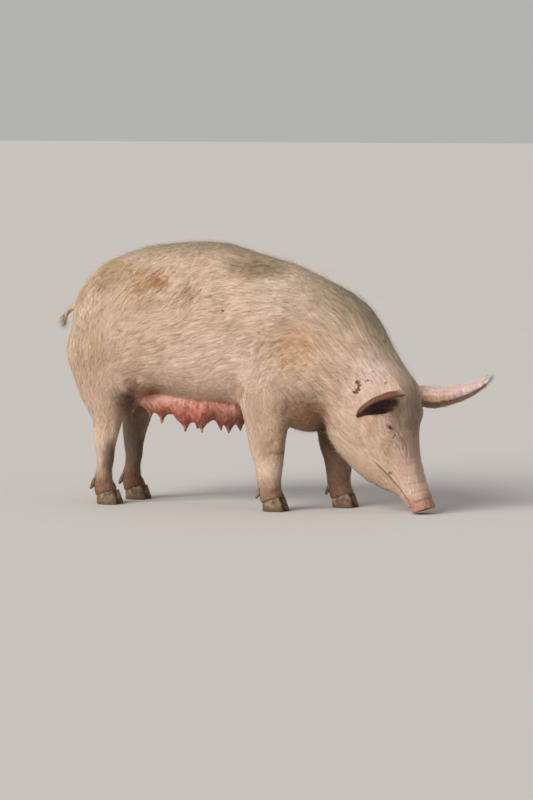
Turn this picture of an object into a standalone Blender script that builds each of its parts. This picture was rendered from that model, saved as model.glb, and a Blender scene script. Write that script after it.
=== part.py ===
"""A life-size sow that roots with its head down, as a still museum model.

Metres, +Z up, +X the way the body faces, +Y its left. The flesh is lofted and fused
whole, then parted by thin cuts into head, neck, torso and four legs. Ears, udder,
tail, eyes, claws and dewclaws are set on it, each a separate solid.
"""

import math

import bmesh
import bpy
import numpy as np
from mathutils import Matrix, Vector
from mathutils.bvhtree import BVHTree

GAP = 0.0003  # clearance between solids that meet
RIGHT, LEFT = -1, 1  # sign of Y on each side of the body
SIDES = {"right": RIGHT, "left": LEFT}

# Trunk, neck and head: sections in planes square to the XZ plane. Each one has the
# point of its top edge and bottom edge as (x, z), its half width, its squareness
# (2 is an ellipse) and the share of its height, from below, where it is widest.
SECTIONS = (
    ((-0.574, 0.655), (-0.566, 0.535), 0.055, 2.0, 0.50),  # tail root
    ((-0.563, 0.705), (-0.553, 0.485), 0.112, 2.1, 0.50),  # pin bones
    ((-0.535, 0.752), (-0.523, 0.445), 0.150, 2.2, 0.50),  # rump
    ((-0.474, 0.808), (-0.460, 0.420), 0.184, 2.3, 0.50),  # hips
    ((-0.393, 0.846), (-0.375, 0.402), 0.202, 2.3, 0.48),  # ham
    ((-0.300, 0.870), (-0.285, 0.378), 0.209, 2.3, 0.45),  # flank
    ((-0.200, 0.883), (-0.190, 0.352), 0.214, 2.3, 0.43),  # loin
    ((-0.110, 0.887), (-0.100, 0.342), 0.216, 2.3, 0.43),  # belly
    ((-0.030, 0.881), (-0.020, 0.336), 0.214, 2.3, 0.43),  # last ribs
    ((0.050, 0.858), (0.060, 0.328), 0.207, 2.3, 0.44),  # girth
    ((0.130, 0.837), (0.145, 0.300), 0.196, 2.3, 0.45),  # shoulder
    ((0.215, 0.815), (0.232, 0.266), 0.184, 2.3, 0.45),  # withers and brisket
    ((0.300, 0.779), (0.298, 0.256), 0.170, 2.3, 0.45),  # breast
    ((0.385, 0.742), (0.326, 0.288), 0.156, 2.2, 0.45),  # base of the neck
    ((0.447, 0.707), (0.341, 0.304), 0.147, 2.2, 0.45),
    ((0.497, 0.660), (0.348, 0.306), 0.141, 2.2, 0.44),  # crest
    ((0.534, 0.604), (0.350, 0.298), 0.136, 2.2, 0.43),
    ((0.563, 0.548), (0.348, 0.276), 0.132, 2.2, 0.42),  # throat
    ((0.595, 0.499), (0.351, 0.250), 0.127, 2.2, 0.43),  # jowl
    ((0.627, 0.456), (0.366, 0.222), 0.120, 2.3, 0.46),  # poll
    ((0.651, 0.415), (0.388, 0.192), 0.112, 2.4, 0.50),
    ((0.660, 0.366), (0.416, 0.160), 0.103, 2.4, 0.54),  # brow
    ((0.660, 0.314), (0.450, 0.127), 0.092, 2.4, 0.58),  # eyes
    ((0.658, 0.260), (0.490, 0.098), 0.077, 2.3, 0.58),  # stop
    ((0.663, 0.206), (0.532, 0.079), 0.063, 2.3, 0.58),  # bridge of the nose
    ((0.675, 0.156), (0.573, 0.066), 0.053, 2.2, 0.58),
    ((0.689, 0.108), (0.608, 0.052), 0.047, 2.2, 0.58),
    ((0.704, 0.068), (0.635, 0.042), 0.045, 2.2, 0.55),  # muzzle
    ((0.717, 0.036), (0.654, 0.018), 0.044, 2.2, 0.50),
    ((0.720, 0.028), (0.657, 0.010), 0.044, 2.2, 0.50),  # behind the disc
)
RING_POINTS = 36
RINGS_BETWEEN = 3

# Masses under the skin: middle (x, |y|, z) and half sizes, one on each side.
MASSES = (
    ((0.180, 0.112, 0.570), (0.130, 0.086, 0.190)),  # shoulder blade
    ((0.150, 0.118, 0.450), (0.125, 0.079, 0.120)),  # upper arm
    ((-0.420, 0.100, 0.570), (0.145, 0.098, 0.190)),  # ham
    ((-0.330, 0.108, 0.455), (0.100, 0.084, 0.095)),  # stifle
    ((0.400, 0.068, 0.440), (0.110, 0.068, 0.130)),  # side of the throat
    ((0.502, 0.050, 0.288), (0.090, 0.064, 0.085)),  # jowl
    ((0.555, 0.058, 0.315), (0.070, 0.050, 0.095)),  # cheek
    ((0.624, 0.055, 0.330), (0.035, 0.038, 0.044)),  # brow
    ((0.600, 0.058, 0.394), (0.050, 0.037, 0.052)),  # root of the ear
)

# Legs: level sections as (height, x, half length, |y|, half width). The two front
# legs share one table, and the left one is swung forward by STRIDE at the foot.
FRONT_LEG = (
    (0.600, 0.145, 0.080, 0.090, 0.060),  # shoulder blade
    (0.530, 0.155, 0.105, 0.106, 0.078),
    (0.460, 0.162, 0.112, 0.117, 0.078),  # point of the shoulder
    (0.390, 0.168, 0.102, 0.121, 0.066),  # elbow
    (0.330, 0.171, 0.090, 0.120, 0.055),
    (0.270, 0.169, 0.074, 0.118, 0.047),  # forearm
    (0.232, 0.168, 0.066, 0.116, 0.043),
    (0.200, 0.170, 0.061, 0.115, 0.042),  # knee
    (0.166, 0.174, 0.053, 0.115, 0.038),
    (0.133, 0.176, 0.047, 0.115, 0.035),  # cannon
    (0.099, 0.176, 0.040, 0.115, 0.035),
    (0.068, 0.179, 0.039, 0.115, 0.038),  # fetlock
    (0.048, 0.188, 0.038, 0.115, 0.041),  # pastern
    (0.005, 0.196, 0.038, 0.115, 0.043),
)
HIND_LEG = (
    (0.630, -0.420, 0.110, 0.090, 0.075),  # pelvis
    (0.570, -0.417, 0.150, 0.105, 0.091),
    (0.510, -0.413, 0.163, 0.112, 0.093),  # ham
    (0.455, -0.409, 0.146, 0.116, 0.086),
    (0.400, -0.420, 0.115, 0.117, 0.073),  # stifle
    (0.350, -0.428, 0.089, 0.114, 0.060),
    (0.318, -0.426, 0.070, 0.112, 0.050),
    (0.283, -0.427, 0.055, 0.110, 0.041),
    (0.250, -0.431, 0.048, 0.108, 0.036),  # hock
    (0.215, -0.435, 0.040, 0.107, 0.032),
    (0.182, -0.437, 0.035, 0.107, 0.029),
    (0.148, -0.436, 0.031, 0.107, 0.027),  # cannon
    (0.115, -0.441, 0.027, 0.107, 0.027),
    (0.085, -0.446, 0.031, 0.107, 0.033),  # fetlock
    (0.060, -0.438, 0.034, 0.107, 0.038),
    (0.005, -0.424, 0.035, 0.107, 0.041),  # pastern
)
STRIDE = 0.150  # how far the left front foot stands ahead of the right one
SWING_TOP, SWING_FOOT = 0.62, 0.24  # heights between which the leg swings
LEG_POINTS = 20
LEG_SQUARE = 2.3
LEG_TABLES = {"front": FRONT_LEG, "hind": HIND_LEG}

# Feet: the claws end at a hair line that slopes down to the heel.
CORONET_HEIGHT, CORONET_SLOPE = 0.041, 0.30
CLAW_LENGTH, CLAW_WIDTH = 0.080, 0.0375
CLAW_HEEL = 0.033  # heel of the sole behind the middle of the pastern
CLAW_TOP_LENGTH, CLAW_TOP_WIDTH = 0.062, 0.0350
CLAW_APART = 0.0200  # middle of a claw to the middle of the foot
CLAW_SPLAY = math.radians(5)
CLAW_POINTS = 16
CLAW_STEPS = (0.0, 0.10, 0.55, 1.0)
DEWCLAW_LENGTH = 0.046
DEWCLAW_RADII = (0.0125, 0.0130, 0.0115, 0.0085, 0.0045)
DEWCLAW_AT = {"front": (-0.040, 0.021, 0.072), "hind": (-0.040, 0.020, 0.080)}

# Snout: the disc that a pig roots with, square to the bridge of the nose.
DISC_CENTRE = Vector((0.6860, 0.0, 0.0106))
DISC_NORMAL = Vector((0.30, 0.0, -0.954)).normalized()
DISC_HALF = (0.039, 0.046)  # half height and half width
DISC_RINGS = ((0.030, 0.86), (0.016, 0.93), (0.010, 1.0), (0.004, 1.0), (0.0, 0.94), (0.0015, 0.55))
NOSTRIL_APART = 0.0175
NOSTRIL_HALF = (0.0095, 0.0070, 0.020)
MOUTH_LINE = ((0.553, 0.158), (0.586, 0.122), (0.613, 0.090), (0.634, 0.056), (0.651, 0.022))
MOUTH_GAP, MOUTH_DEPTH = 0.0045, 0.010
LIP_RADIUS, LIP_APART = 0.012, 0.013
LIP_OUT = ((0.553, 0.040), (0.600, 0.034), (0.651, 0.027))  # |y| of the upper lips at x
CHIN_IN = ((0.600, 0.0), (0.645, 0.017))  # how far inside those the lower lips are
LIP_TAPER = ((0.553, 0.70), (0.565, 1.0), (0.625, 1.0), (0.651, 0.70))

# Eyes: where each sits, seen from the side, and the slit between its lids.
EYE_AT = (0.602, 0.290)
EYE_RADIUS = 0.0125
EYE_SUNK = 0.0105  # middle of the ball below the skin
LID_HALF = (0.0250, 0.0190, 0.0157)  # half sizes of the mound of the lids
LID_SLIT = (0.0115, 0.0038)  # half length and half height
LID_TILT = math.radians(-36)

# Ears: a cupped leaf along a bent spine. Widths are along the curve of the cup.
EAR_LENGTH, EAR_WIDTH, EAR_THICK = 0.265, 0.172, 0.0070
EAR_OUTLINE = (
    (0.0, 0.78),
    (0.12, 0.94),
    (0.28, 1.00),
    (0.45, 0.88),
    (0.62, 0.73),
    (0.80, 0.58),
    (0.92, 0.45),
    (1.0, 0.25),
)
EAR_CUP = ((0.0, 265), (0.15, 250), (0.32, 235), (0.50, 220), (0.68, 195), (0.84, 165), (1.0, 120))
EAR_STEPS, EAR_ACROSS = 10, 8
EAR_POSES = {  # root, way the ear points, way its cup faces, bend to its back (rad), cup share
    RIGHT: ((0.614, -0.068, 0.402), (-0.20, -0.95, -0.10), (0.72, -0.06, -0.68), -0.50, (0.76, 0.78)),
    LEFT: ((0.612, 0.070, 0.414), (0.84, 0.50, -0.06), (0.10, -0.34, -0.92), 0.70, (1.0, 1.0)),
}

# Udder: a soft keel under the belly as (x, lowest z, half width), and the teats in
# each row as (x, height of the tip).
UDDER_SECTIONS = (
    (-0.385, 0.372, 0.030),
    (-0.362, 0.338, 0.066),
    (-0.320, 0.318, 0.088),
    (-0.250, 0.306, 0.100),
    (-0.170, 0.293, 0.106),
    (-0.080, 0.288, 0.106),
    (0.000, 0.291, 0.100),
    (0.055, 0.308, 0.084),
    (0.090, 0.334, 0.052),
)
UDDER_TOP = 0.42
TEATS = (
    (-0.345, 0.302),
    (-0.298, 0.290),
    (-0.240, 0.271),
    (-0.168, 0.245),
    (-0.085, 0.243),
    (-0.010, 0.242),
    (0.045, 0.270),
)
TEAT_ROW = 0.062  # |y| of each row of teats
TEAT_STEPS = ((0.000, 0.0045), (0.004, 0.0072), (0.018, 0.0085), (0.030, 0.0150), (0.052, 0.0290))
GLAND_HALF = (0.042, 0.044, 0.046)
GLAND_ABOVE = 0.074  # middle of a gland above the tip of its teat

# Tail: a docked tail with a wisp of bristles, as points (x, y, z) and radii.
TAIL_PATH = (
    (-0.545, 0.000, 0.650),
    (-0.590, 0.002, 0.660),
    (-0.624, 0.006, 0.653),
    (-0.645, 0.010, 0.633),
    (-0.652, 0.012, 0.612),
)
TAIL_RADII = (0.026, 0.018, 0.013, 0.010, 0.006)
TAIL_LOCKS, LOCK_LENGTH, LOCK_WIDTH, LOCK_THICK = 9, 0.042, 0.0065, 0.0022

# Where the body is parted: planes through two points of the side view, and the
# blocks that take the legs off, whose tops slope up from the inside to the outside.
HEAD_CUT = ((0.335, 0.264), (0.580, 0.528))
NECK_CUT = ((0.320, 0.270), (0.350, 0.765))
LEG_CUTS = {  # x from and to, |y| from and to, height of the top at both
    "front": ((0.045, 0.268), (0.050, 0.260), (0.296, 0.410)),
    "hind": ((-0.700, -0.240), (0.012, 0.260), (0.392, 0.480)),
}
FLANK_FOLD = (-0.338, 0.050, 0.008)  # x where the flank fold turns down, and how far below
# the block's top it does so there and at the block's front

BODY_VOXEL, BODY_TRIANGLES = 0.0060, 5800
BODY_SMOOTH, TRUNK_SMOOTH = 6, 60  # the trunk is blended more than the limbs
TRUNK_FROM = (0.22, 0.34)  # heights between which that begins
HEAD_FROM, HEAD_SHARE = (0.44, 0.54), 0.45  # and the share of it that the head gets
UDDER_VOXEL, UDDER_SMOOTH, UDDER_TRIANGLES = 0.0040, 3, 1200
KEEL_VOXEL, KEEL_SMOOTH = 0.0060, 14

SKIN_PINK = (0.78, 0.56, 0.45)
UDDER_PINK = (0.70, 0.34, 0.27)
EAR_PINK = (0.74, 0.46, 0.38)
HORN_GREY = (0.34, 0.27, 0.20)
EYE_BROWN = (0.05, 0.03, 0.02)


class Shop:
    """Makes helper shapes, and finished nodes under one empty."""

    def __init__(self):
        for old in list(bpy.data.objects):
            bpy.data.objects.remove(old)
        self.nodes = bpy.data.collections.new("domestic_pig")
        self.helpers = bpy.data.collections.new("cutters")
        for collection in (self.nodes, self.helpers):
            bpy.context.scene.collection.children.link(collection)
        self.origin = bpy.data.objects.new("origin", None)
        self.nodes.objects.link(self.origin)

    def helper(self, name, mesh):
        """An object that only helps to make others."""
        made = bpy.data.objects.new(name, mesh)
        self.helpers.objects.link(made)
        made.hide_render = True
        made.display_type = "WIRE"
        return made

    def from_bmesh(self, name, shape):
        mesh = bpy.data.meshes.new(name)
        shape.to_mesh(mesh)
        shape.free()
        return self.helper(name, mesh)

    def loft(self, name, rings):
        """A closed solid through rings of points."""
        shape = bmesh.new()
        loops = [[shape.verts.new(point) for point in ring] for ring in rings]
        count = len(loops[0])
        for low, high in zip(loops, loops[1:]):
            for i in range(count):
                j = (i + 1) % count
                shape.faces.new((low[i], low[j], high[j], high[i]))
        shape.faces.new(loops[0])
        shape.faces.new(loops[-1])
        bmesh.ops.recalc_face_normals(shape, faces=shape.faces)
        shape.normal_update()
        bmesh.ops.triangulate(shape, faces=shape.faces)
        return self.from_bmesh(name, shape)

    def ball(self, name, at, half, turn=None, segments=20):
        """An ellipsoid with these half sizes."""
        shape = bmesh.new()
        bmesh.ops.create_uvsphere(shape, u_segments=segments, v_segments=segments // 2, radius=1)
        place = Matrix.Translation(at) @ (turn or Matrix.Identity(4)) @ Matrix.Diagonal((*half, 1))
        bmesh.ops.transform(shape, matrix=place, verts=shape.verts)
        bmesh.ops.recalc_face_normals(shape, faces=shape.faces)
        return self.from_bmesh(name, shape)

    def block(self, name, at, size, turn=None):
        """A box whose lower middle is at a point, turned about that point."""
        shape = bmesh.new()
        bmesh.ops.create_cube(shape, size=1)
        lift = Matrix.Translation((0, 0, size[2] / 2)) @ Matrix.Diagonal((*size, 1))
        place = Matrix.Translation(at) @ (turn or Matrix.Identity(4)) @ lift
        bmesh.ops.transform(shape, matrix=place, verts=shape.verts)
        return self.from_bmesh(name, shape)

    def copy_of(self, obj, name, grow=0.0):
        """A copy of an object, its surface moved outwards."""
        made = self.helper(name, obj.data.copy())
        normals = [vert.normal.copy() for vert in made.data.vertices]
        for vert, normal in zip(made.data.vertices, normals):
            vert.co += normal * grow
        return made

    def node(self, obj, name, colour, roughness):
        """Makes a finished shape a node with its own material."""
        keep_largest(obj)
        self.helpers.objects.unlink(obj)
        self.nodes.objects.link(obj)
        obj.name = name
        obj.data.name = name
        obj.hide_render = False
        obj.display_type = "TEXTURED"
        obj.parent = self.origin
        material = bpy.data.materials.new(name)
        material.use_nodes = True
        skin = material.node_tree.nodes["Principled BSDF"]
        skin.inputs["Base Color"].default_value = (*colour, 1)
        skin.inputs["Roughness"].default_value = roughness
        obj.data.materials.clear()
        obj.data.materials.append(material)
        obj.data.shade_smooth()
        obj.data.set_sharp_from_angle(angle=math.radians(40))
        return obj


def spaced(table, between):
    """The rows of a table of numbers, with more rows between on smooth curves."""
    rows = np.array(table, float)
    last = len(rows) - 1
    out = []
    for i in range(last):
        a, b = rows[max(i - 1, 0)], rows[i]
        c, d = rows[i + 1], rows[min(i + 2, last)]
        for t in np.linspace(0, 1, between + 1, endpoint=False):
            bend = (2 * a - 5 * b + 4 * c - d) * t**2 + (3 * b - a - 3 * c + d) * t**3
            out.append(b + 0.5 * ((c - a) * t + bend))
    out.append(rows[-1])
    return out


def looked_up(table, t):
    """A value at t from a table of (t, value)."""
    return float(np.interp(t, [row[0] for row in table], [row[1] for row in table]))


def power(value, square):
    """A cosine or sine made squarer."""
    return math.copysign(abs(value) ** (2 / square), value)


def settle(obj):
    """Applies an object's modifiers."""
    graph = bpy.context.evaluated_depsgraph_get()
    graph.update()
    mesh = bpy.data.meshes.new_from_object(obj.evaluated_get(graph))
    obj.modifiers.clear()
    obj.data = mesh
    return obj


def boolean(obj, operation, cutters):
    """Applies a Boolean with each cutter, and removes the cutters."""
    for cutter in cutters:
        change = obj.modifiers.new("cut", "BOOLEAN")
        change.operation = operation
        change.solver = "EXACT"
        change.object = cutter
        settle(obj)
        bpy.data.objects.remove(cutter)
    return obj


def clear_of(shop, obj, hosts):
    """Cuts an object back to a thin gap from the surfaces that it grows from."""
    for host in hosts:
        boolean(obj, "DIFFERENCE", [shop.copy_of(host, "host", grow) for grow in (0.0, GAP)])
    return obj


def box_volume(group):
    """The volume of the box round some vertices."""
    points = np.array([vert.co for vert in group])
    return float(np.prod(np.ptp(points, axis=0) + GAP))


def keep_largest(obj):
    """Leaves only the largest closed surface of a mesh, in triangles."""
    shape = bmesh.new()
    shape.from_mesh(obj.data)
    groups = []
    left = set(shape.verts)
    while left:
        reached = [left.pop()]
        group = []
        while reached:
            vert = reached.pop()
            group.append(vert)
            for edge in vert.link_edges:
                other = edge.other_vert(vert)
                if other in left:
                    left.remove(other)
                    reached.append(other)
        groups.append(group)
    groups.sort(key=box_volume, reverse=True)
    for group in groups[1:]:
        bmesh.ops.delete(shape, geom=group, context="VERTS")
    bmesh.ops.triangulate(shape, faces=shape.faces)
    shape.to_mesh(obj.data)
    shape.free()
    return obj


def blend_weights(obj):
    """A vertex group that is full on the trunk, weak on the head and nil on the limbs."""
    group = obj.vertex_groups.new(name="blend")
    for vert in obj.data.vertices:
        trunk = float(np.interp(vert.co.z, TRUNK_FROM, (0, 1)))
        group.add([vert.index], trunk * float(np.interp(vert.co.x, HEAD_FROM, (1, HEAD_SHARE))), "REPLACE")
    return group.name


def fused(shop, name, pieces, voxel, smooth, triangles=None, blend=0):
    """Overlapping solids made one soft form of about this many triangles."""
    shape = bmesh.new()
    for piece in pieces:
        shape.from_mesh(piece.data)
        bpy.data.objects.remove(piece)
    made = shop.from_bmesh(name, shape)
    remesh = made.modifiers.new("remesh", "REMESH")
    remesh.mode = "VOXEL"
    remesh.voxel_size = voxel
    soften = made.modifiers.new("smooth", "SMOOTH")
    soften.iterations = smooth
    settle(made)
    if blend:
        even = made.modifiers.new("blend", "SMOOTH")
        even.vertex_group = blend_weights(made)
        even.iterations = blend
        settle(made)
    keep_largest(made)
    if not triangles:
        return made
    thin = made.modifiers.new("decimate", "DECIMATE")
    thin.ratio = triangles / len(made.data.polygons)
    return settle(made)


def body_rings():
    rings = []
    flat = [(*top, *bottom, wide, square, widest) for top, bottom, wide, square, widest in SECTIONS]
    for top_x, top_z, low_x, low_z, wide, square, widest in spaced(flat, RINGS_BETWEEN):
        low, top = Vector((low_x, 0, low_z)), Vector((top_x, 0, top_z))
        ring = []
        for i in range(RING_POINTS):
            angle = math.tau * i / RING_POINTS
            height = power(math.cos(angle), square)
            share = widest + (1 - widest if height > 0 else widest) * height
            ring.append(low + (top - low) * share + Vector((0, wide * power(math.sin(angle), square), 0)))
        rings.append(ring)
    return rings


def swing(height, part, side):
    """How far forward a leg stands at this height, against its table."""
    if part == "hind" or side == RIGHT:
        return 0.0
    share = min(max((SWING_TOP - height) / (SWING_TOP - SWING_FOOT), 0), 1)
    return STRIDE * share * share * (3 - 2 * share)


def leg_rings(part, side):
    rings = []
    for height, x, long, y, wide in spaced(LEG_TABLES[part], 2):
        x += swing(height, part, side)
        ring = []
        for i in range(LEG_POINTS):
            angle = math.tau * i / LEG_POINTS
            ahead = long * power(math.cos(angle), LEG_SQUARE)
            across = wide * power(math.sin(angle), LEG_SQUARE)
            ring.append(Vector((x + ahead, side * (y + across), height)))
        rings.append(ring)
    return rings


def foot_middle(part, side):
    """The point on the floor under the middle of a pastern."""
    _, x, _, y, _ = LEG_TABLES[part][-1]
    return Vector((x + swing(0, part, side), side * y, 0))


def mouth_frames():
    """Points along the mouth line, each with the side-view direction across it."""
    line = [Vector((x, 0, z)) for x, z in spaced(MOUTH_LINE, 2)]
    frames = []
    for i, point in enumerate(line):
        ahead = line[min(i + 1, len(line) - 1)] - line[max(i - 1, 0)]
        frames.append((point, Vector((-ahead.z, 0, ahead.x)).normalized()))
    return frames


def lip_rings(offset, side):
    """A roll of flesh along one edge of the mouth."""
    rings = []
    for point, across in mouth_frames():
        out = looked_up(LIP_OUT, point.x) - (looked_up(CHIN_IN, point.x) if offset < 0 else 0)
        middle = point + across * offset + Vector((0, side * out, 0))
        radius = LIP_RADIUS * looked_up(LIP_TAPER, point.x)
        rings.append(
            [
                middle + across * radius * math.cos(angle) + Vector((0, radius * math.sin(angle), 0))
                for angle in np.linspace(0, math.tau, 12, endpoint=False)
            ]
        )
    return rings


def make_body(shop):
    """Trunk, neck, head and legs as one closed form."""
    pieces = [shop.loft("trunk", body_rings())]
    for side in SIDES.values():
        pieces += [shop.loft(part, leg_rings(part, side)) for part in LEG_TABLES]
        for (x, y, z), half in MASSES:
            pieces.append(shop.ball("mass", (x, side * y, z), half))
        pieces += [shop.loft("lip", lip_rings(offset, side)) for offset in (-LIP_APART, LIP_APART)]
    return fused(shop, "body", pieces, BODY_VOXEL, BODY_SMOOTH, BODY_TRIANGLES, TRUNK_SMOOTH)


def beyond(shop, line, gap=0.0, behind=False):
    """The space on the head side of a side-view line, or behind it."""
    (x0, z0), (x1, z1) = line
    lean = math.atan2(x1 - x0, z1 - z0)
    turn = Matrix.Rotation(lean + math.radians(90 if not behind else -90), 4, "Y")
    middle = Vector(((x0 + x1) / 2, 0, (z0 + z1) / 2))
    normal = turn @ Vector((0, 0, 1))
    return shop.block("beyond", middle + normal * gap, (3, 2, 2), turn)


def leg_block(shop, part, side, grow=0.0):
    """The space that holds a leg."""
    (low, high), (inner, outer), (top_inner, top_outer) = LEG_CUTS[part]
    shift = swing(top_inner, part, side)
    low, high, under = low + shift - grow, high + shift + grow, -0.1
    rings = []
    for y, top in ((inner - grow, top_inner + grow), (outer, top_outer + grow)):
        outline = [(low, under), (high, under), (high, top), (low, top)]
        if part == "hind":
            fold_x, drop, notch = FLANK_FOLD
            outline[1:2] = [(fold_x + grow, under), (fold_x + grow, top - drop - 2 * grow)]
            outline[3:3] = [(high, top - notch - 2 * grow)]
        rings.append([Vector((x, side * y, z)) for x, z in outline])
    return shop.loft("leg_block", rings)


def under_coronet(shop, part, side):
    """The space under the hair line of a foot."""
    turn = Matrix.Rotation(-math.atan(CORONET_SLOPE) + math.pi, 4, "Y")
    at = foot_middle(part, side) + Vector((0, 0, CORONET_HEIGHT + GAP))
    return shop.block("under_coronet", at, (0.3, 0.12, 0.1), turn)


def part_body(shop, body):
    """The body parted into seven solids by name."""
    parts = {}
    for part in LEG_TABLES:
        for where, side in SIDES.items():
            leg = boolean(shop.copy_of(body, "leg"), "INTERSECT", [leg_block(shop, part, side)])
            parts[f"leg_{part}_{where}"] = boolean(leg, "DIFFERENCE", [under_coronet(shop, part, side)])
    for part in LEG_TABLES:
        boolean(body, "DIFFERENCE", [leg_block(shop, part, side, GAP) for side in SIDES.values()])
    keep_largest(body)
    parts["head"] = boolean(shop.copy_of(body, "head"), "INTERSECT", [beyond(shop, HEAD_CUT)])
    neck = boolean(shop.copy_of(body, "neck"), "DIFFERENCE", [beyond(shop, HEAD_CUT, -GAP)])
    parts["neck"] = boolean(neck, "INTERSECT", [beyond(shop, NECK_CUT)])
    torso = boolean(body, "DIFFERENCE", [beyond(shop, HEAD_CUT, -GAP)])
    parts["torso"] = boolean(torso, "INTERSECT", [beyond(shop, NECK_CUT, GAP, behind=True)])
    for obj in parts.values():
        keep_largest(obj)
    return parts


def surface_of(obj):
    return BVHTree.FromPolygons([v.co for v in obj.data.vertices], [p.vertices for p in obj.data.polygons])


def skin_point(surface, x, z, side):
    """The point of the skin, and its normal, seen from one side at (x, z)."""
    at, normal, _, _ = surface.ray_cast(Vector((x, side, z)), Vector((0, -side, 0)))
    return at, normal


def add_disc(shop, head):
    """The flat end of the snout with its two nostrils, cut level where it rests."""
    up = Vector((-DISC_NORMAL.z, 0, DISC_NORMAL.x))
    across = Vector((0, 1, 0))
    rings = []
    for back, share in DISC_RINGS:
        middle = DISC_CENTRE - DISC_NORMAL * back
        ring = []
        for i in range(24):
            angle = math.tau * i / 24
            tall = DISC_HALF[0] * share * power(math.cos(angle), 2.3)
            wide = DISC_HALF[1] * share * power(math.sin(angle), 2.3)
            ring.append(middle + up * tall + across * wide)
        rings.append(ring)
    boolean(head, "UNION", [shop.loft("disc", rings)])
    turn = Matrix((up, across, DISC_NORMAL)).transposed().to_4x4()
    holes = []
    for side in SIDES.values():
        at = DISC_CENTRE + across * side * NOSTRIL_APART + up * 0.002
        holes.append(shop.ball("nostril", at, NOSTRIL_HALF, turn @ Matrix.Rotation(side * 0.35, 4, "Z"), 14))
    holes.append(shop.block("floor", (0.65, 0, -0.1), (0.3, 0.3, 0.1)))
    boolean(head, "DIFFERENCE", holes)


def cut_mouth(shop, head):
    """A groove between the lips on both sides of the muzzle."""
    surface = surface_of(head)
    for side in SIDES.values():
        rings = []
        for i, (point, across) in enumerate(mouth_frames()):
            skin, _ = skin_point(surface, point.x, point.z, side)
            if skin is None:
                break
            share = 0.4 if i == 0 else 1
            inner = skin - Vector((0, side * MOUTH_DEPTH * share, 0))
            outer = skin + Vector((0, side * 0.02, 0))
            half = across * MOUTH_GAP / 2 * share
            rings.append([inner, outer - half, outer + half])
        boolean(head, "DIFFERENCE", [shop.loft("mouth", rings)])


def set_eye(shop, head, where, side):
    """An eye in its socket, with lids that leave a slit."""
    skin, normal = skin_point(surface_of(head), *EYE_AT, side)
    middle = skin - normal * EYE_SUNK
    along = Vector((math.cos(LID_TILT), 0, math.sin(LID_TILT)))
    along = (along - normal * along.dot(normal)).normalized()
    turn = Matrix((along, normal.cross(along), normal)).transposed().to_4x4()
    boolean(head, "UNION", [shop.ball("lids", middle, LID_HALF, turn)])
    slit = shop.ball("slit", middle + normal * EYE_RADIUS, (*LID_SLIT, 0.012), turn, 14)
    socket = shop.ball("socket", middle, [EYE_RADIUS + 2 * GAP] * 3, segments=14)
    boolean(head, "DIFFERENCE", [socket, slit])
    keep_largest(head)
    eye = shop.ball("eye", (0, 0, 0), [EYE_RADIUS] * 3, segments=14)
    eye.location = middle
    shop.node(eye, f"eye_{where}", EYE_BROWN, 0.1)


def make_ear(shop, head, side):
    """A cupped leaf on a bent spine, its root closed to a tube against the head."""
    root, along, facing, bend, (width_share, cup_share) = EAR_POSES[side]
    along, facing = Vector(along).normalized(), Vector(facing)
    facing = (facing - along * facing.dot(along)).normalized()
    across = along.cross(facing)
    shape = bmesh.new()
    bmesh.ops.create_grid(shape, x_segments=EAR_STEPS, y_segments=EAR_ACROSS, size=0.5)
    spine = [Vector(root)]
    frames = []
    for i in range(EAR_STEPS + 1):
        turn = Matrix.Rotation(-bend * (i / EAR_STEPS) ** 2, 3, across)
        frames.append((turn @ along, turn @ facing))
        spine.append(spine[-1] + frames[-1][0] * EAR_LENGTH / EAR_STEPS)
    shares = []
    for vert in shape.verts:
        t, s = vert.co.x + 0.5, vert.co.y * 2
        i = round(t * EAR_STEPS)
        shares.append(t)
        cup = math.radians(looked_up(EAR_CUP, t)) * cup_share
        radius = EAR_WIDTH * width_share * looked_up(EAR_OUTLINE, t) / cup
        angle = s * cup / 2
        vert.co = (
            spine[i]
            + frames[i][1] * radius * (1 - math.cos(angle))
            + across * radius * math.sin(angle)
        )
    ear = shop.from_bmesh("ear", shape)
    thickness = ear.vertex_groups.new(name="thickness")
    for i, t in enumerate(shares):
        thickness.add([i], 1 - 0.5 * t, "REPLACE")
    shell = ear.modifiers.new("shell", "SOLIDIFY")
    shell.thickness = EAR_THICK
    shell.offset = 0
    shell.vertex_group = "thickness"
    settle(ear)
    return clear_of(shop, ear, [head])


def make_claw(shop, part, where, side, toe):
    """One claw with a flat sole, around the floor point under its foot's middle."""
    rings = []
    splay = Matrix.Rotation(side * toe * CLAW_SPLAY, 3, "Z")
    for t in CLAW_STEPS:
        length = CLAW_LENGTH + (CLAW_TOP_LENGTH - CLAW_LENGTH) * t
        width = CLAW_WIDTH + (CLAW_TOP_WIDTH - CLAW_WIDTH) * t
        inset = 0.94 if t == 0 else 1
        ring = []
        for i in range(CLAW_POINTS):
            angle = math.tau * i / CLAW_POINTS
            x = -CLAW_HEEL + length / 2 * (1 + inset * math.cos(angle))
            taper = 1 - (0.42 - 0.25 * t) * max(math.cos(angle), 0) ** 2
            y = width / 2 * inset * power(math.sin(angle), 2.5) * taper
            point = splay @ Vector((x, side * toe * (CLAW_APART + y), 0))
            point.z = (CORONET_HEIGHT + CORONET_SLOPE * point.x) * t
            ring.append(point)
        rings.append(ring)
    claw = shop.loft("claw", rings)
    claw.location = foot_middle(part, side)
    toe_name = "outer" if toe > 0 else "inner"
    shop.node(claw, f"claw_{part}_{where}_{toe_name}", HORN_GREY, 0.55)


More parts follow.
